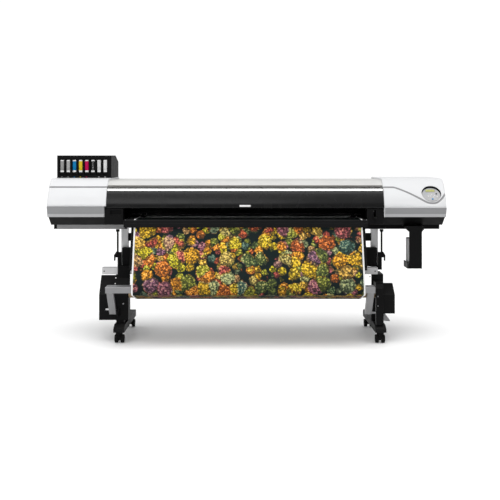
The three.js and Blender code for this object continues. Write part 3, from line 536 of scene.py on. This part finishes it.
def rounded_outline(middle, half, corner, inset):
    """The points of a rectangle with round corners, drawn in by inset."""
    points = []
    for k in range(24):
        quarter, step = divmod(k, 6)
        angle = math.radians(90) * (quarter + step / 5)
        side = (1 if quarter in (0, 3) else -1, 1 if quarter in (0, 1) else -1)
        u = middle[0] + side[0] * (half[0] - corner) + (corner - inset) * math.cos(angle)
        v = middle[1] + side[1] * (half[1] - corner) + (corner - inset) * math.sin(angle)
        points.append((u, v))
    return points


def strip_along_x(name, line, thickness, x0, x1, material, body, edge=0.6, **rest):
    """A sheet of even thickness that follows a (depth, height) line between two X places, in millimetres."""
    ring = offset(line, thickness / 2) + offset(line, -thickness / 2)[::-1]
    obj = piece(name, *prism_along_x(ring, x0, x1), [material], body, **rest)
    return rounded(obj, edge * MM, 2, angle=50)


def turned(name, profile, centre, axis, materials, body, segments=48, indices=None, **rest):
    """A piece turned about X, Y or Z through centre, from closed (radius, place) points in millimetres."""
    frames = {"X": ((0, 1, 0), (0, 0, 1)), "Y": ((0, 0, 1), (1, 0, 0)), "Z": ((1, 0, 0), (0, 1, 0))}
    side, up = (Vector(v) for v in frames[axis])
    along = side.cross(up)
    rings = []
    for k in range(segments):
        angle = 2 * math.pi * k / segments
        outward = side * math.cos(angle) + up * math.sin(angle)
        rings.append([centre + (outward * radius + along * place) * MM for radius, place in profile])
    rings.append(rings[0])
    vertices, faces = lofted(rings, closed=True, caps=False)
    count = len(profile)
    per_face = None
    if indices is not None:
        per_face = [indices[j] for _ in range(segments) for j in range(count)]
    obj = piece(name, vertices, faces, materials, body, indices=per_face, **rest)
    made = bmesh.new()
    made.from_mesh(obj.data)
    bmesh.ops.remove_doubles(made, verts=made.verts, dist=1e-6)
    bmesh.ops.dissolve_degenerate(made, edges=made.edges, dist=1e-7)
    bmesh.ops.recalc_face_normals(made, faces=made.faces)
    made.to_mesh(obj.data)
    made.free()
    return obj


def slab(name, low, high, material, body, edge=1.0, **rest):
    """A small block with rounded edges between two corners in millimetres."""
    return rounded(piece(name, *box(low, high), [material], body, **rest), edge * MM, 3)


def screw(name, x, y, z, r, body, axis="Y", material=None, stand=2.0):
    """A socket-head screw of radius r, whose head stands out by stand; axis "Y" is on a front face."""
    sign = -1 if axis == "Y" else 1
    profile = [(0.001, -1), (r, -1), (r, 0.7), (r * 0.82, 1.0), (r * 0.5, 1.0), (r * 0.42, 0.4), (0.001, 0.3)]
    profile = [(reach, sign * place * (stand if place > 0 else 1)) for reach, place in profile]
    return turned(name, profile, at(x, y, z), axis[-1], [material or SCREW], body, segments=20)


# ---------------------------------------------------------------- end covers
COVER_FRONT = [
    (0, 982),
    (10, 1010),
    (26, 1045),
    (44, 1073),
    (66, 1102),
    (96, 1136),
    (128, 1163),
    (150, 1172),
    (178, 1176),
]
COVER_TOP = 1176
COVER_DEPTH = 700
COVER_REAR_ROUND = 62
COVER_STEPS = 12  # points on the front, on each side of the seam
COVER_WALL = 3.0
SEAM_WIDTH = 14.0
SEAM_DEPTH = 4.0
SEAM_SECTION = [(-0.5, 0.0), (-0.38, 0.75), (-0.2, 1.0), (0.2, 1.0), (0.38, 0.75), (0.5, 0.0)]
EDGE_ROUND = 9.0
FLANGE = 18.0  # width of the rim that turns in round the open inner side


def catmull_rom(points, per_span=10):
    """A smooth curve through (u, v) points."""
    known = [Vector(p) for p in points]
    known = [known[0] * 2 - known[1], *known, known[-1] * 2 - known[-2]]
    curve = []
    for a, b, c, d in zip(known, known[1:], known[2:], known[3:]):
        square = 2 * a - 5 * b + 4 * c - d
        cube = 3 * b - a - 3 * c + d
        for t in np.arange(per_span) / per_span:
            curve.append(0.5 * (2 * b + (c - a) * t + square * t**2 + cube * t**3))
    curve.append(known[-2])
    return curve


front_curve = catmull_rom(COVER_FRONT)
front_y = np.array([p.x for p in front_curve])
front_z = np.array([p.y for p in front_curve])
front_s = np.concatenate([[0], np.cumsum(np.hypot(np.diff(front_y), np.diff(front_z)))])


def front_point(s):
    return Vector((np.interp(s, front_s, front_y), np.interp(s, front_s, front_z)))


def front_inward(s):
    step = (front_point(min(s + 1, front_s[-1])) - front_point(max(s - 1, 0))).normalized()
    return Vector((step.y, -step.x))


def cover_ring(seam_z, width, inset, foot):
    """(depth, height) points of an end cover, from its front foot over the top to its rear foot."""
    seam = float(np.interp(seam_z, front_z, front_s))
    places = [(s, 0.0) for s in np.linspace(0, seam - width, COVER_STEPS)]
    places += [(seam + share * width, depth * SEAM_DEPTH) for share, depth in SEAM_SECTION]
    places += [(s, 0.0) for s in np.linspace(seam + width, front_s[-1], COVER_STEPS)]
    ring = [front_point(s) + front_inward(s) * (depth + inset) for s, depth in places]
    ring[0] = Vector((inset, foot))
    top_front = (240, COVER_TOP)
    top_rear = (COVER_DEPTH, COVER_TOP, COVER_REAR_ROUND)
    return ring + offset(filleted([top_front, top_rear, (COVER_DEPTH, foot)], samples=10), -inset)


def end_cover(name, outboard, inboard, seam):
    """A moulded end cover, open at its inner side, with a round outer edge and a groove along the seam."""
    sign = 1 if inboard > outboard else -1
    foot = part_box(f"{name}_cover")[0].z / MM
    seam_x, seam_z = zip(*seam)
    stations = []
    for k in range(7):
        angle = math.radians(90) * k / 6
        inward = EDGE_ROUND * (1 - math.cos(angle))
        stations.append((outboard + sign * inward, EDGE_ROUND * (1 - math.sin(angle))))
    stations += [(x, 0.0) for x in np.linspace(outboard + sign * (EDGE_ROUND + 4), inboard, 64)]
    stations.append((inboard, FLANGE))
    rings = []
    for x, inset in stations:
        before, here, after = np.interp((x - 2, x, x + 2), seam_x, seam_z)
        width = SEAM_WIDTH * math.hypot(1, (after - before) / 4)
        rings.append([at(x, p.x, p.y) for p in cover_ring(here, width, inset, foot)])
    vertices, faces = lofted(rings, closed=False, caps=False)
    count = len(rings[0])
    groove = range(COVER_STEPS, COVER_STEPS + len(SEAM_SECTION) - 1)
    # The groove's faces get the grey, as painted shade.
    indices = [1 if f[0] % count in groove and f[0] // count >= 3 else 0 for f in faces]
    faces.append(tuple(range(count)))
    indices.append(0)
    paints = [WHITE, SEAM_PAINTED_SHADE]
    node = f"{name}_cover"
    obj = piece(f"{node}_shell", vertices, faces, paints, "root", "white_cover", [node], indices)
    wall = obj.modifiers.new("wall", "SOLIDIFY")
    wall.thickness = COVER_WALL * MM
    wall.offset = -1
    wall.use_even_offset = True
    bake_modifiers(obj)
    return obj


RIGHT_SEAM = [
    (979, 1112),
    (1040, 1112.5),
    (1073, 1109),
    (1149, 1080),
    (1218, 1046),
    (1287, 1009),
    (1324, 1001),
    (1360, 1005),
    (1394, 1028),
    (1434, 1074),
]
LEFT_SEAM = [(-1434, 1114), (-979, 1114)]
LEFT_INNER = LEFT_COVER[1].x / MM
RIGHT_INNER = RIGHT_COVER[0].x / MM
end_cover("left", LEFT_COVER[0].x / MM, LEFT_INNER, LEFT_SEAM)
right_cover = end_cover("right", RIGHT_COVER[1].x / MM, RIGHT_INNER, catmull_rom(RIGHT_SEAM))


# ---------------------------------------------------------------- control panel
PANEL_CENTRE = (1328, 42, 1070)
PANEL_HALF = (72, 66)
PANEL_TILT = math.radians(56)
PANEL_FACE = -16
PANEL_SIDES = 72
panel_matrix = Matrix.Translation(at(*PANEL_CENTRE)) @ Matrix.Rotation(PANEL_TILT, 4, "X")


def on_panel(across, up, out):
    return panel_matrix @ (Vector((across, up, out)) * MM)


def around(sides):
    """Evenly spaced directions round a circle, as (cosine, sine) pairs."""
    turns = [2 * math.pi * k / sides for k in range(sides)]
    return [(math.cos(turn), math.sin(turn)) for turn in turns]


def panel_ring(inset, out, crescent=0.0):
    """A ring on the panel's oval, drawn in by inset, and by up to crescent more towards its top."""
    ring = []
    for cosine, sine in around(PANEL_SIDES):
        inward = inset + crescent * max(0, sine)
        ring.append(on_panel((PANEL_HALF[0] - inward) * cosine, (PANEL_HALF[1] - inward) * sine, out))
    return ring


cut_out(right_cover, *lofted([panel_ring(0.2, -60), panel_ring(0.2, 60)]))


def surface_out(across, up):
    """How far out of the panel's plane the cover's front surface is at a place on it."""
    low, high = -40.0, 40.0
    for _ in range(30):
        out = (low + high) / 2
        place = on_panel(across, up, out)
        outside = (place.y - FRONT) / MM < np.interp(place.z / MM, front_z, front_y)
        low, high = (low, out) if outside else (out, high)
    return low


def panel_rim():
    """A soft white bead round the panel's opening, which follows the cover's curve."""
    rings = []
    for cosine, sine in [*around(PANEL_SIDES), (1.0, 0.0)]:
        across, up = PANEL_HALF[0] * cosine, PANEL_HALF[1] * sine
        middle = surface_out(across, up) - 1.6
        ring = []
        for wide, high in around(10):
            side = 2.6 * wide + 0.6
            ring.append(on_panel(across + cosine * side, up + sine * side, middle + 2.4 * high))
        rings.append(ring)
    piece("panel_rim", *lofted(rings, caps=False), [WHITE], "root", slot="white_cover")


def panel_dish():
    """The recessed panel: a wall painted black as painted shade, deepest along its top, and a flat grey face,
    closed at the back.
    """
    steps = [(60, -20), (0.8, -20), (0.8, -4), (1.6, -3.4), (2.4, -4), (3.2, -12, 5), (4.2, -15, 8)]
    steps += [(6, -15.8, 9), (10, PANEL_FACE, 9), (60, PANEL_FACE)]
    vertices, faces = lofted([panel_ring(*step) for step in steps])
    bands = [f[0] // PANEL_SIDES if len(f) == 4 else len(steps) for f in faces]
    # Painted shade: the recess's wall is black for the shade along its top.
    wall = [1 if 2 <= band < 6 else 0 for band in bands]
    paints = [PANEL_GREY, BLACK_PLASTIC]
    dish = piece("panel_dish", vertices, faces, paints, "root", "panel_grey", ["control_panel"], wall)
    dish.data.polygons.foreach_set("use_smooth", [band < 8 for band in bands])


panel_rim()
panel_dish()


def panel_plate(name, across, up, heights, material, corner, depth=1.6):
    """A rounded plate on the panel's face; across, up and heights above the face are (low, high) pairs."""
    middle = ((across[0] + across[1]) / 2, (up[0] + up[1]) / 2)
    half = ((across[1] - across[0]) / 2, (up[1] - up[0]) / 2)
    low, high = heights
    steps = [(0, low), (0, high - depth * 0.5), (depth * 0.15, high - depth * 0.15), (depth * 0.5, high)]
    rings = []
    for inset, height in steps:
        outline = rounded_outline(middle, half, corner, inset)
        rings.append([on_panel(x, y, PANEL_FACE + height) for x, y in outline])
    piece(name, *lofted(rings), [material], "root", slot="panel_grey")


def panel_spot(name, across, up, radius, height, material, depth):
    """A small round plate on the panel's face."""
    sides = (across - radius, across + radius), (up - radius, up + radius)
    panel_plate(name, *sides, (-0.2, height), material, radius - 0.1, depth)


def display_material():
    """A backlit display with rows of plain bars, and no lettering."""
    surface = Surface("display", 0.4, Emission_Strength=0.08, Specular_IOR_Level=0.2)
    inputs = {"Vector": surface.place, "Rotation": (-PANEL_TILT, 0, 0), "Scale": (1000, 1000, 1000)}
    local = surface.node("ShaderNodeMapping", inputs).outputs[0]
    rows = surface.math("GREATER_THAN", surface.wave(local, 0.09, bands_direction="Y"), 0.62)
    breaks = surface.math("GREATER_THAN", surface.noise(0.35, detail=1, place=local), 0.5)
    bars = surface.math("MULTIPLY", rows, breaks)
    colour = surface.mix(surface.math("MULTIPLY", bars, 0.6), (0.42, 0.42, 0.15), (0.12, 0.13, 0.05))
    surface.link(colour, "Base Color")
    surface.link(colour, "Emission Color")
    return surface.material


KEY_MARKS = {"up": (4, 2), "down": (16, -20), "left": (-6, -12), "right": (24, -8)}
BUTTONS = {
    "menu_button": (39, 6, 6, BUTTON_DARK, "button_dark"),
    "enter_button": (8, -38, 7, BUTTON_BLUE, "button_blue"),
    "left_button": (-22, -16, 5, BUTTON_WHITE, "button_white"),
    "right_button": (42, -20, 5, BUTTON_WHITE, "button_white"),
}
BUTTON_HEIGHT = 4


def button(name, across, up, radius, material, slot):
    """A domed round key, deep enough to stay in its hole when it is pressed."""
    steps = [(radius, -9.8), (radius, -1.6), (radius - 0.5, -0.6), (radius - 1.6, -0.1), (radius * 0.4, 0)]
    rings = []
    for r, below in steps:
        out = PANEL_FACE + BUTTON_HEIGHT + below
        rings.append([on_panel(across + r * cosine, up + r * sine, out) for cosine, sine in around(28)])
    piece(f"{name}_cap", *lofted(rings), [material], name, slot=slot, replaces=[name])


panel_plate("display_bezel", (-39, 31), (20, 43), (-0.3, 1.6), BAND_GREY, 4)
panel_plate("display_glass", (-36, 28), (23, 41), (0.4, 1.9), display_material(), 2, depth=0.5)
for label, (across, up) in KEY_MARKS.items():
    panel_spot(f"key_mark_{label}", across, up, 3, 0.5, BUTTON_WHITE, 0.4)
for k in range(3):
    panel_spot(f"panel_lamp_{k + 1}", -44 + 9 * k, 5, 2, 0.9, BUTTON_BLUE, 0.6)
for name, settings in BUTTONS.items():
    button(name, *settings)


# ---------------------------------------------------------------- centre covers
CENTRE = (LEFT_INNER + 0.5, RIGHT_INNER - 0.5)

strip_along_x(
    "top_cover_panel",
    filleted([(82, 1112), (80, 1120, 4), (150, 1165, 30), (640, 1160)]),
    3,
    *CENTRE,
    SILVER,
    "root",
    slot="silver_panel",
    replaces=["top_cover"],
)
rear_cover = strip_along_x(
    "rear_cover_panel",
    filleted([(644, 1160), (672, 1157, 14), (698, 1122, 14), (698, 800)]),
    3,
    *CENTRE,
    BLACK_METAL,
    "root",
    slot="black_metal",
    replaces=["rear_cover"],
)
LOUVRE_WIDTH = 160
LOUVRE_LEVELS = range(1010, 1098, 11)
for side, x in (("left", -720), ("right", 560)):
    low, high = (x - 8, 692, 1000), (x + LOUVRE_WIDTH + 8, 695.5, 1100)
    slab(f"louvre_screen_{side}", low, high, BLACK_PLASTIC, "root", edge=0.5)
    for level in LOUVRE_LEVELS:
        cut_out(rear_cover, *box((x, 690, level), (x + LOUVRE_WIDTH, 705, level + 4)))
rounded(rear_cover, 0.5 * MM, 2, angle=50)

SKIN_LINE = [(84, 1106), (68, 1105, 8), (46, 1084, 20), (24, 1038, 28), (11, 998, 13), (9, 968, 4), (24, 967)]
front_cover = strip_along_x(
    "front_cover_skin",
    filleted(SKIN_LINE),
    4,
    *CENTRE,
    GLOSS_BLACK,
    "front_cover",
    slot="gloss_black",
    replaces=["front_cover"],
)
cut_out(front_cover, *box((-52, -60, 975), (29, 10.5, 989)))
rounded(front_cover, 0.6 * MM, 2, angle=50)
slab("front_cover_grip_plate", (-51, 9.2, 975.5), (28, 11.5, 988.5), LABEL_WHITE, "front_cover", edge=0.4)
strip_along_x(
    "front_cover_trim",
    offset([Vector((63.8, 1101.1)), Vector((48.4, 1086.2))], -2.6),
    1.2,
    CENTRE[0] + 3,
    CENTRE[1] - 3,
    BRIGHT,
    "front_cover",
    edge=0.3,
    slot="silver_panel",
)
CHEEK = [(66, 1101), (47, 1083), (26, 1038), (14, 998), (12, 971), (30, 971), (92, 1088), (88, 1101)]
for side, x in (("left", CENTRE[0] + 0.5), ("right", CENTRE[1] - 4)):
    solid = prism_along_x(CHEEK, x, x + 3.5)
    cheek = piece(f"front_cover_cheek_{side}", *solid, [BLACK_PLASTIC], "front_cover", slot="gloss_black")
    rounded(cheek, 0.8 * MM)

strip_along_x(
    "top_cover_lip",
    offset(filleted([(81.0, 1116), (80.4, 1120), (87, 1124.8)]), 2.0),
    1.0,
    CENTRE[0] + 1,
    CENTRE[1] - 1,
    LIP_GREY,
    "root",
    edge=0.3,
    slot="silver_panel",
)


# ---------------------------------------------------------------- printed web
def print_places(obj, flat):
    """Stores each vertex's place on the flat picture, for the print material."""
    places = obj.data.attributes.new("flat_place", "FLOAT_VECTOR", "POINT")
    places.data.foreach_set("vector", np.array(flat, np.float32).ravel())


def add_web():
    """Printed vinyl from the feed roll, over the platen and round the tension bar to the take-up roll."""
    corners = filleted(WEB.line, samples=10)
    line = []
    for a, b in zip(corners, corners[1:]):
        steps = max(1, int((b - a).length // 30))
        line += [a.lerp(b, k / steps) for k in range(steps)]
    line.append(corners[-1])
    lengths = [0.0]
    for a, b in zip(line, line[1:]):
        lengths.append(lengths[-1] + (b - a).length)
    start = next(s for s, p in zip(lengths, line) if p.x < WEB.print_starts)
    stations = np.linspace(WEB.left, WEB.right, 41)
    rings = [[at(x, p.x, p.y) for x in stations] for p in line]
    sheet = lofted(rings, closed=False, caps=False)
    paints = [PRINT, LABEL_WHITE]
    web = piece("printed_web", *sheet, paints, "root", slot="print_media", replaces=["media_web"])
    print_places(web, [(x * MM, (start - s) * MM, 0.0) for s in lengths for x in stations])
    wall = web.modifiers.new("wall", "SOLIDIFY")
    wall.thickness = WEB.thickness * MM
    wall.offset = 0
    wall.material_offset = 1
    wall.material_offset_rim = 1


add_web()


# ---------------------------------------------------------------- rolls
def wound_material(name, printed):
    """Wound media: fine rings on the ends, and on the outside either blank vinyl or the picture."""
    surface = Surface(name, 0.45)
    rings = surface.wave(surface.place, 140.0, 1.5, wave_type="RINGS", rings_direction="X")
    base = surface.mix(rings, (0.62, 0.62, 0.60), (0.84, 0.84, 0.83))
    if printed:
        base = surface.mix(surface.remap(rings, 0.6, 0.9, 0.0, 0.5), base, (0.30, 0.20, 0.10))
    surface.link(base, "Base Color")
    surface.link(surface.remap(rings, 0.0, 1.0, 0.42, 0.6), "Roughness")
    surface.bump(rings, 0.1, 0.0003)
    return surface.material


def roll(name, centre, ends, wound, outside, cap):
    """Media wound on a core, from the core's own end profiles and the wound radius."""
    left, right = ends
    outer = left[-1][0]
    profile = [
        *left,
        (outer, WEB.left),
        (wound - 1, WEB.left),
        (wound, WEB.left + 1),
        (wound, WEB.right - 1),
        (wound - 1, WEB.right),
        (outer, WEB.right),
        *right,
    ]
    indices = [0] * len(left) + [1, 1, 2, 1, 1] + [0] * (len(right) + 1)
    rest = {"slot": "cardboard", "replaces": [name]}
    paints = [BOARD, cap, outside]
    obj = turned(f"{name}_wound", profile, centre, "X", paints, name, 64, indices, **rest)
    round_faces = [len(p.vertices) == 4 and p.area > 2e-5 for p in obj.data.polygons]
    obj.data.polygons.foreach_set("use_smooth", round_faces)
    return obj


TAKE_UP_CENTRE = at(0, 85, 352)
TAKE_UP_RADIUS = 45
TAKE_UP_ENDS = (
    [(0.001, -869), (11, -869), (12, -868), (12, -851), (37, -851), (38, -850)],
    [(38, 974), (37, 975), (12, 975), (12, 992), (11, 993), (0.001, 993)],
)
wound_print = wound_material("wound_print", True)
take_up = roll("take_up_roll", TAKE_UP_CENTRE, TAKE_UP_ENDS, TAKE_UP_RADIUS, PRINT, wound_print)
flat = []
for vertex in take_up.data.vertices:
    spoke = vertex.co - TAKE_UP_CENTRE
    flat.append((vertex.co.x, -1.5 + math.atan2(spoke.z, spoke.y) * TAKE_UP_RADIUS * MM, 0.0))
print_places(take_up, flat)
FEED_CENTRE = at(0, 610, 650)
FEED_RADIUS = 58
FEED_ENDS = ([(34, -868), (37, -868), (38, -867)], [(38, 889), (37, 890), (34, 890)])
roll("feed_roll", FEED_CENTRE, FEED_ENDS, FEED_RADIUS, VINYL, wound_material("wound_vinyl", False))


# ---------------------------------------------------------------- casters
def caster_wheels(node):
    """A pair of wheels with rounded tyres, a tread groove and a stepped hub on one axle."""
    low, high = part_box(node)
    centre = (low + high) / 2
    r, inner, outer = 30, 10, 34
    half = [
        (0.001, outer - 3),
        (9, outer - 3),
        (11, outer - 1),
        (15, outer - 1),
        (17, outer - 4),
        (21, outer - 4),
        (22, outer - 0.5),
        (26, outer),
        (29, outer - 2),
        (r, outer - 5),
        (r, 24),
        (r - 1, 23),
        (r - 1, 21),
        (r, 20),
        (r, inner + 5),
        (29, inner + 2),
        (26, inner),
        (8, inner),
        (5, inner - 0.5),
    ]
    profile = half + [(radius, -place) for radius, place in reversed(half)]
    hub = [1] * 6 + [0] * 11 + [1]
    indices = hub + [1] + list(reversed(hub)) + [1]
    paints = [RUBBER, HUB]
    turned(f"{node}_tyres", profile, centre, "X", paints, node, 40, indices, slot="rubber", replaces=[node])


for side in ("left", "right"):
    for end in ("front", "rear"):
        caster_wheels(f"{side}_{end}_caster_wheels")


# ---------------------------------------------------------------- ink rack and cartridges
LABEL_HALF = 12.5
LABEL_HEIGHTS = (1219, 1310)
INK_MARK_HEIGHTS = (1232, 1301)
ink_materials = {n: finish(f"ink_{n}", colour, 0.45, spread=0.04, **DULL) for n, colour in INKS.items()}


def rounded_plate(name, x, half_width, heights, depths, corner, material, body):
    """An upright plate with round corners; heights and depths are (low, high) and (front, back) pairs."""
    (low, high), (front, back) = heights, depths
    middle, half = (x, (low + high) / 2), (half_width, (high - low) / 2)
    rings = []
    for inset, y in ((0, back), (0, front + 0.5), (0.5, front)):
        rings.append([at(u, y, v) for u, v in rounded_outline(middle, half, corner, inset)])
    piece(name, *lofted(rings), [material], body)


for i, (ink, paint) in enumerate(ink_materials.items()):
    node = f"ink_cartridge_{i + 1}"
    low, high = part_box(node)
    x = (low.x + high.x) / 2 / MM
    nose, tail = (low.y - FRONT) / MM, (high.y - FRONT) / MM
    solid = box((low.x / MM, nose, low.z / MM), (high.x / MM, tail, high.z / MM))
    case = piece(f"{node}_case", *solid, [BLACK_PLASTIC], node, slot="cartridge_shell", replaces=[node])
    rounded(case, 4 * MM, 4)
    depths = (nose - 1.6, nose + 2)
    rounded_plate(f"{node}_label", x, LABEL_HALF, LABEL_HEIGHTS, depths, 3, LABEL_WHITE, node)
    depths = (nose - 2.1, nose + 2)
    rounded_plate(f"{node}_ink_mark", x, LABEL_HALF + 0.3, INK_MARK_HEIGHTS, depths, 1.2, paint, node)
    if ink == "black":
        depths = (nose - 2.5, nose + 1)
        for k in range(5):
            z = INK_MARK_HEIGHTS[0] + 9 + 13 * k
            rounded_plate(f"{node}_tick_{k + 1}", x, 1.3, (z - 3.5, z + 3.5), depths, 1.0, LABEL_WHITE, node)
    slab(f"rack_mark_{i + 1}", (x - 5, 248.6, 1180), (x + 5, 251, 1185), paint, "root", edge=0.5)


# ---------------------------------------------------------------- CAD nodes that keep their shape
KEPT = {
    "crossbeam": (BLACK_METAL, 1.0),
    "power_inlet": (BLACK_PLASTIC, 0.3),
    "chassis": (STEEL, 1.0),
    "guide_rail": (STEEL, 1.0),
    "platen": (PLATEN, 0.6),
    "grit_roller": (STEEL, 0.0),
    "exit_guide": (GUIDE_BLACK, 1.5),
    "apron": (BLACK_METAL, 0.8),
    "pinch_bar": (DARK_STEEL, 0.3),
    "loading_lever": (BLACK_PLASTIC, 1.2),
    "print_carriage": (BLACK_PLASTIC, 4.0),
    "cutting_carriage": (BLACK_PLASTIC, 2.0),
    "tool_holder": (SILVER, 0.4),
    "ink_rack": (BLACK_PLASTIC, 2.0),
    "bottle_guard": (BLACK_METAL, 1.2),
    "drain_bottle": (BOTTLE, 7.0),
    "take_up_beam": (LIGHT_METAL, 1.0),
    "take_up_drive": (BLACK_PLASTIC, 2.5),
    "take_up_holder": (BLACK_PLASTIC, 3.0),
    "tension_arm": (MID_METAL, 1.2),
    "roll_carrier": (BLACK_METAL, 1.5),
}
for side in ("left", "right"):
    KEPT |= {
        f"{side}_foot": (FOOT_BLACK, 3.0),
        f"{side}_column": (COLUMN_COAT_PAINTED_LIGHT, 3.0),
        f"{side}_trim": (BAND_GREY, 1.5),
        f"{side}_lower_cover": (BLACK_PLASTIC, 1.5),
        f"{side}_front_caster_fork": (BLACK_PLASTIC, 1.0),
        f"{side}_rear_caster_fork": (BLACK_PLASTIC, 1.0),
        f"pinch_roller_{side}": (RUBBER, 0.4),
    }

for node, (material, edge) in KEPT.items():
    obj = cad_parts[node]
    obj.data.materials.clear()
    obj.data.materials.append(material)
    obj.data.polygons.foreach_set("use_smooth", [True] * len(obj.data.polygons))
    if edge:
        rounded(obj, edge * MM, 3 if edge >= 1.5 else 2)


# ---------------------------------------------------------------- fasteners and small fittings
screw("beam_screw_left", -1042, 150, 497, 5, "root", material=BUTTON_DARK)
screw("beam_screw_right", 939, 150, 497, 5, "root", material=BUTTON_DARK)
screw("drive_screw", -889, 50, 276, 5, "root")
for k, (y, z) in enumerate(((137, 450), (107, 412))):
    screw(f"drive_rivet_{k + 1}", -955, y, z, 4.5, "root", material=LABEL_WHITE)
for k, z in enumerate((336, 268)):
    screw(f"holder_screw_{k + 1}", 938, 0, z, 4, "root")
for side, x in (("left", -862), ("right", 850)):
    screw(f"rail_stud_{side}", x, -44, 885, 3.5, "root", axis="Z")
for side, x in (("left", -912), ("right", 956)):
    for k, z in enumerate((200, 430)):
        screw(f"{side}_post_screw_{k + 1}", x - 28, 345, z, 5, "root", axis="-Y")
        screw(f"{side}_post_screw_{k + 3}", x + 28, 345, z, 5, "root", axis="-Y")
for k, x in enumerate(np.linspace(LEFT_INNER + 60, RIGHT_INNER - 60, 8)):
    screw(f"rear_cover_screw_{k + 1}", float(x), 699.4, 820, 4, "root", axis="-Y", stand=0.25)
for side, low, high in (("left", -1424, -1030), ("right", 1000, 1424)):
    for k, x in enumerate(np.linspace(low + 40, high - 40, 3)):
        screw(f"{side}_tray_screw_{k + 1}", float(x), 690, 826, 4, "root", axis="-Y")

TRIM_SLOT = "mid_grey_metal"
BAND_LEAN = 26  # how far a grey band's foot stands in front of its head
LIP_HEIGHTS = (924, 902.5)
LIP_PROUD = 1.1


def band_lip(side, sign):
    """A lip along the foot of a grey band, which leans back as the band's face does; it is painted lighter
    than the band, a painted highlight.
    """
    low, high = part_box(f"{side}_trim")
    foot, head = low.z / MM, high.z / MM
    lean = BAND_LEAN / (head - foot)
    line = offset([Vector(((head - z) * lean, z)) for z in LIP_HEIGHTS], -LIP_PROUD)
    inner, outer = sorted(((low.x / MM), (high.x / MM)), key=abs)
    ends = sorted((inner + sign * 1.5, outer - sign * 2.5))
    strip_along_x(f"{side}_trim_lip", line, 1.4, *ends, LIP_PAINTED_HIGHLIGHT, "root", edge=0.4, slot=TRIM_SLOT)


band_lip("left", -1)
band_lip("right", 1)
slab("left_tray_strip", (-1402, 219.6, 803), (-901, 222.5, 834), STRIP_GREY, "root", edge=0.6, slot=TRIM_SLOT)
slab("right_cover_return", (984.3, 1, 902), (988.6, 30, 968), WHITE, "root", edge=0.8, slot="white_cover")
slab("tension_knob", (-1008, -4, 238), (-972, 6, 249), LIGHT_METAL, "tension_arm", edge=2, slot=TRIM_SLOT)
PEDAL = [(979, 150), (992, 197), (1001, 200), (1035, 152), (1032, 146)]
solid = lofted([[at(x, y, z) for x, z in PEDAL] for y in (66, 96)])
rounded(piece("holder_pedal", *solid, [MID_METAL], "root", slot=TRIM_SLOT), 2 * MM)


def carriage_belt():
    """A toothed belt behind the guide rail, round a pulley at each end."""
    y, z, radius, reach = 392, 1028, 8, 1368
    for side, x in (("left", -reach), ("right", reach)):
        profile = [(0.001, -11), (3, -11), (3, -9), (radius + 1.5, -8), (radius + 1.5, -7), (radius - 1, -6)]
        profile += [(r, -place) for r, place in reversed(profile)]
        turned(f"belt_pulley_{side}", profile, at(x, y, z), "Z", [STEEL], "root", 28, slot="steel")

    def loop(r, height):
        halves = [(reach, k) for k in range(-6, 7)] + [(-reach, k) for k in range(6, 19)]
        turns = [(x, math.radians(15 * k)) for x, k in halves]
        return [at(x + r * math.cos(turn), y + r * math.sin(turn), height) for x, turn in turns]

    low, high, inside = z - 5, z + 5, radius - 1.4
    corners = ((radius, low), (radius, high), (inside, high), (inside, low), (radius, low))
    belt = lofted([loop(*corner) for corner in corners], caps=False)
    piece("carriage_belt", *belt, [RUBBER], "root", slot="rubber", smooth=False)


carriage_belt()


# ---------------------------------------------------------------- floor
def add_floor():
    half = 30.0
    corners = [(-half, -half), (half, -half), (half, half), (-half, half)]
    mesh = bpy.data.meshes.new("floor")
    mesh.from_pydata([(x, y, -0.0005) for x, y in corners], [], [(0, 1, 2, 3)])
    surface = Surface("floor_paper", 0.55)
    tone = surface.mix(surface.noise(0.6, detail=3), (0.94, 0.94, 0.94), (0.97, 0.97, 0.97))
    surface.link(tone, "Base Color")
    mesh.materials.append(surface.material)
    floor = bpy.data.objects.new("floor", mesh)
    scene.collection.objects.link(floor)


add_floor()
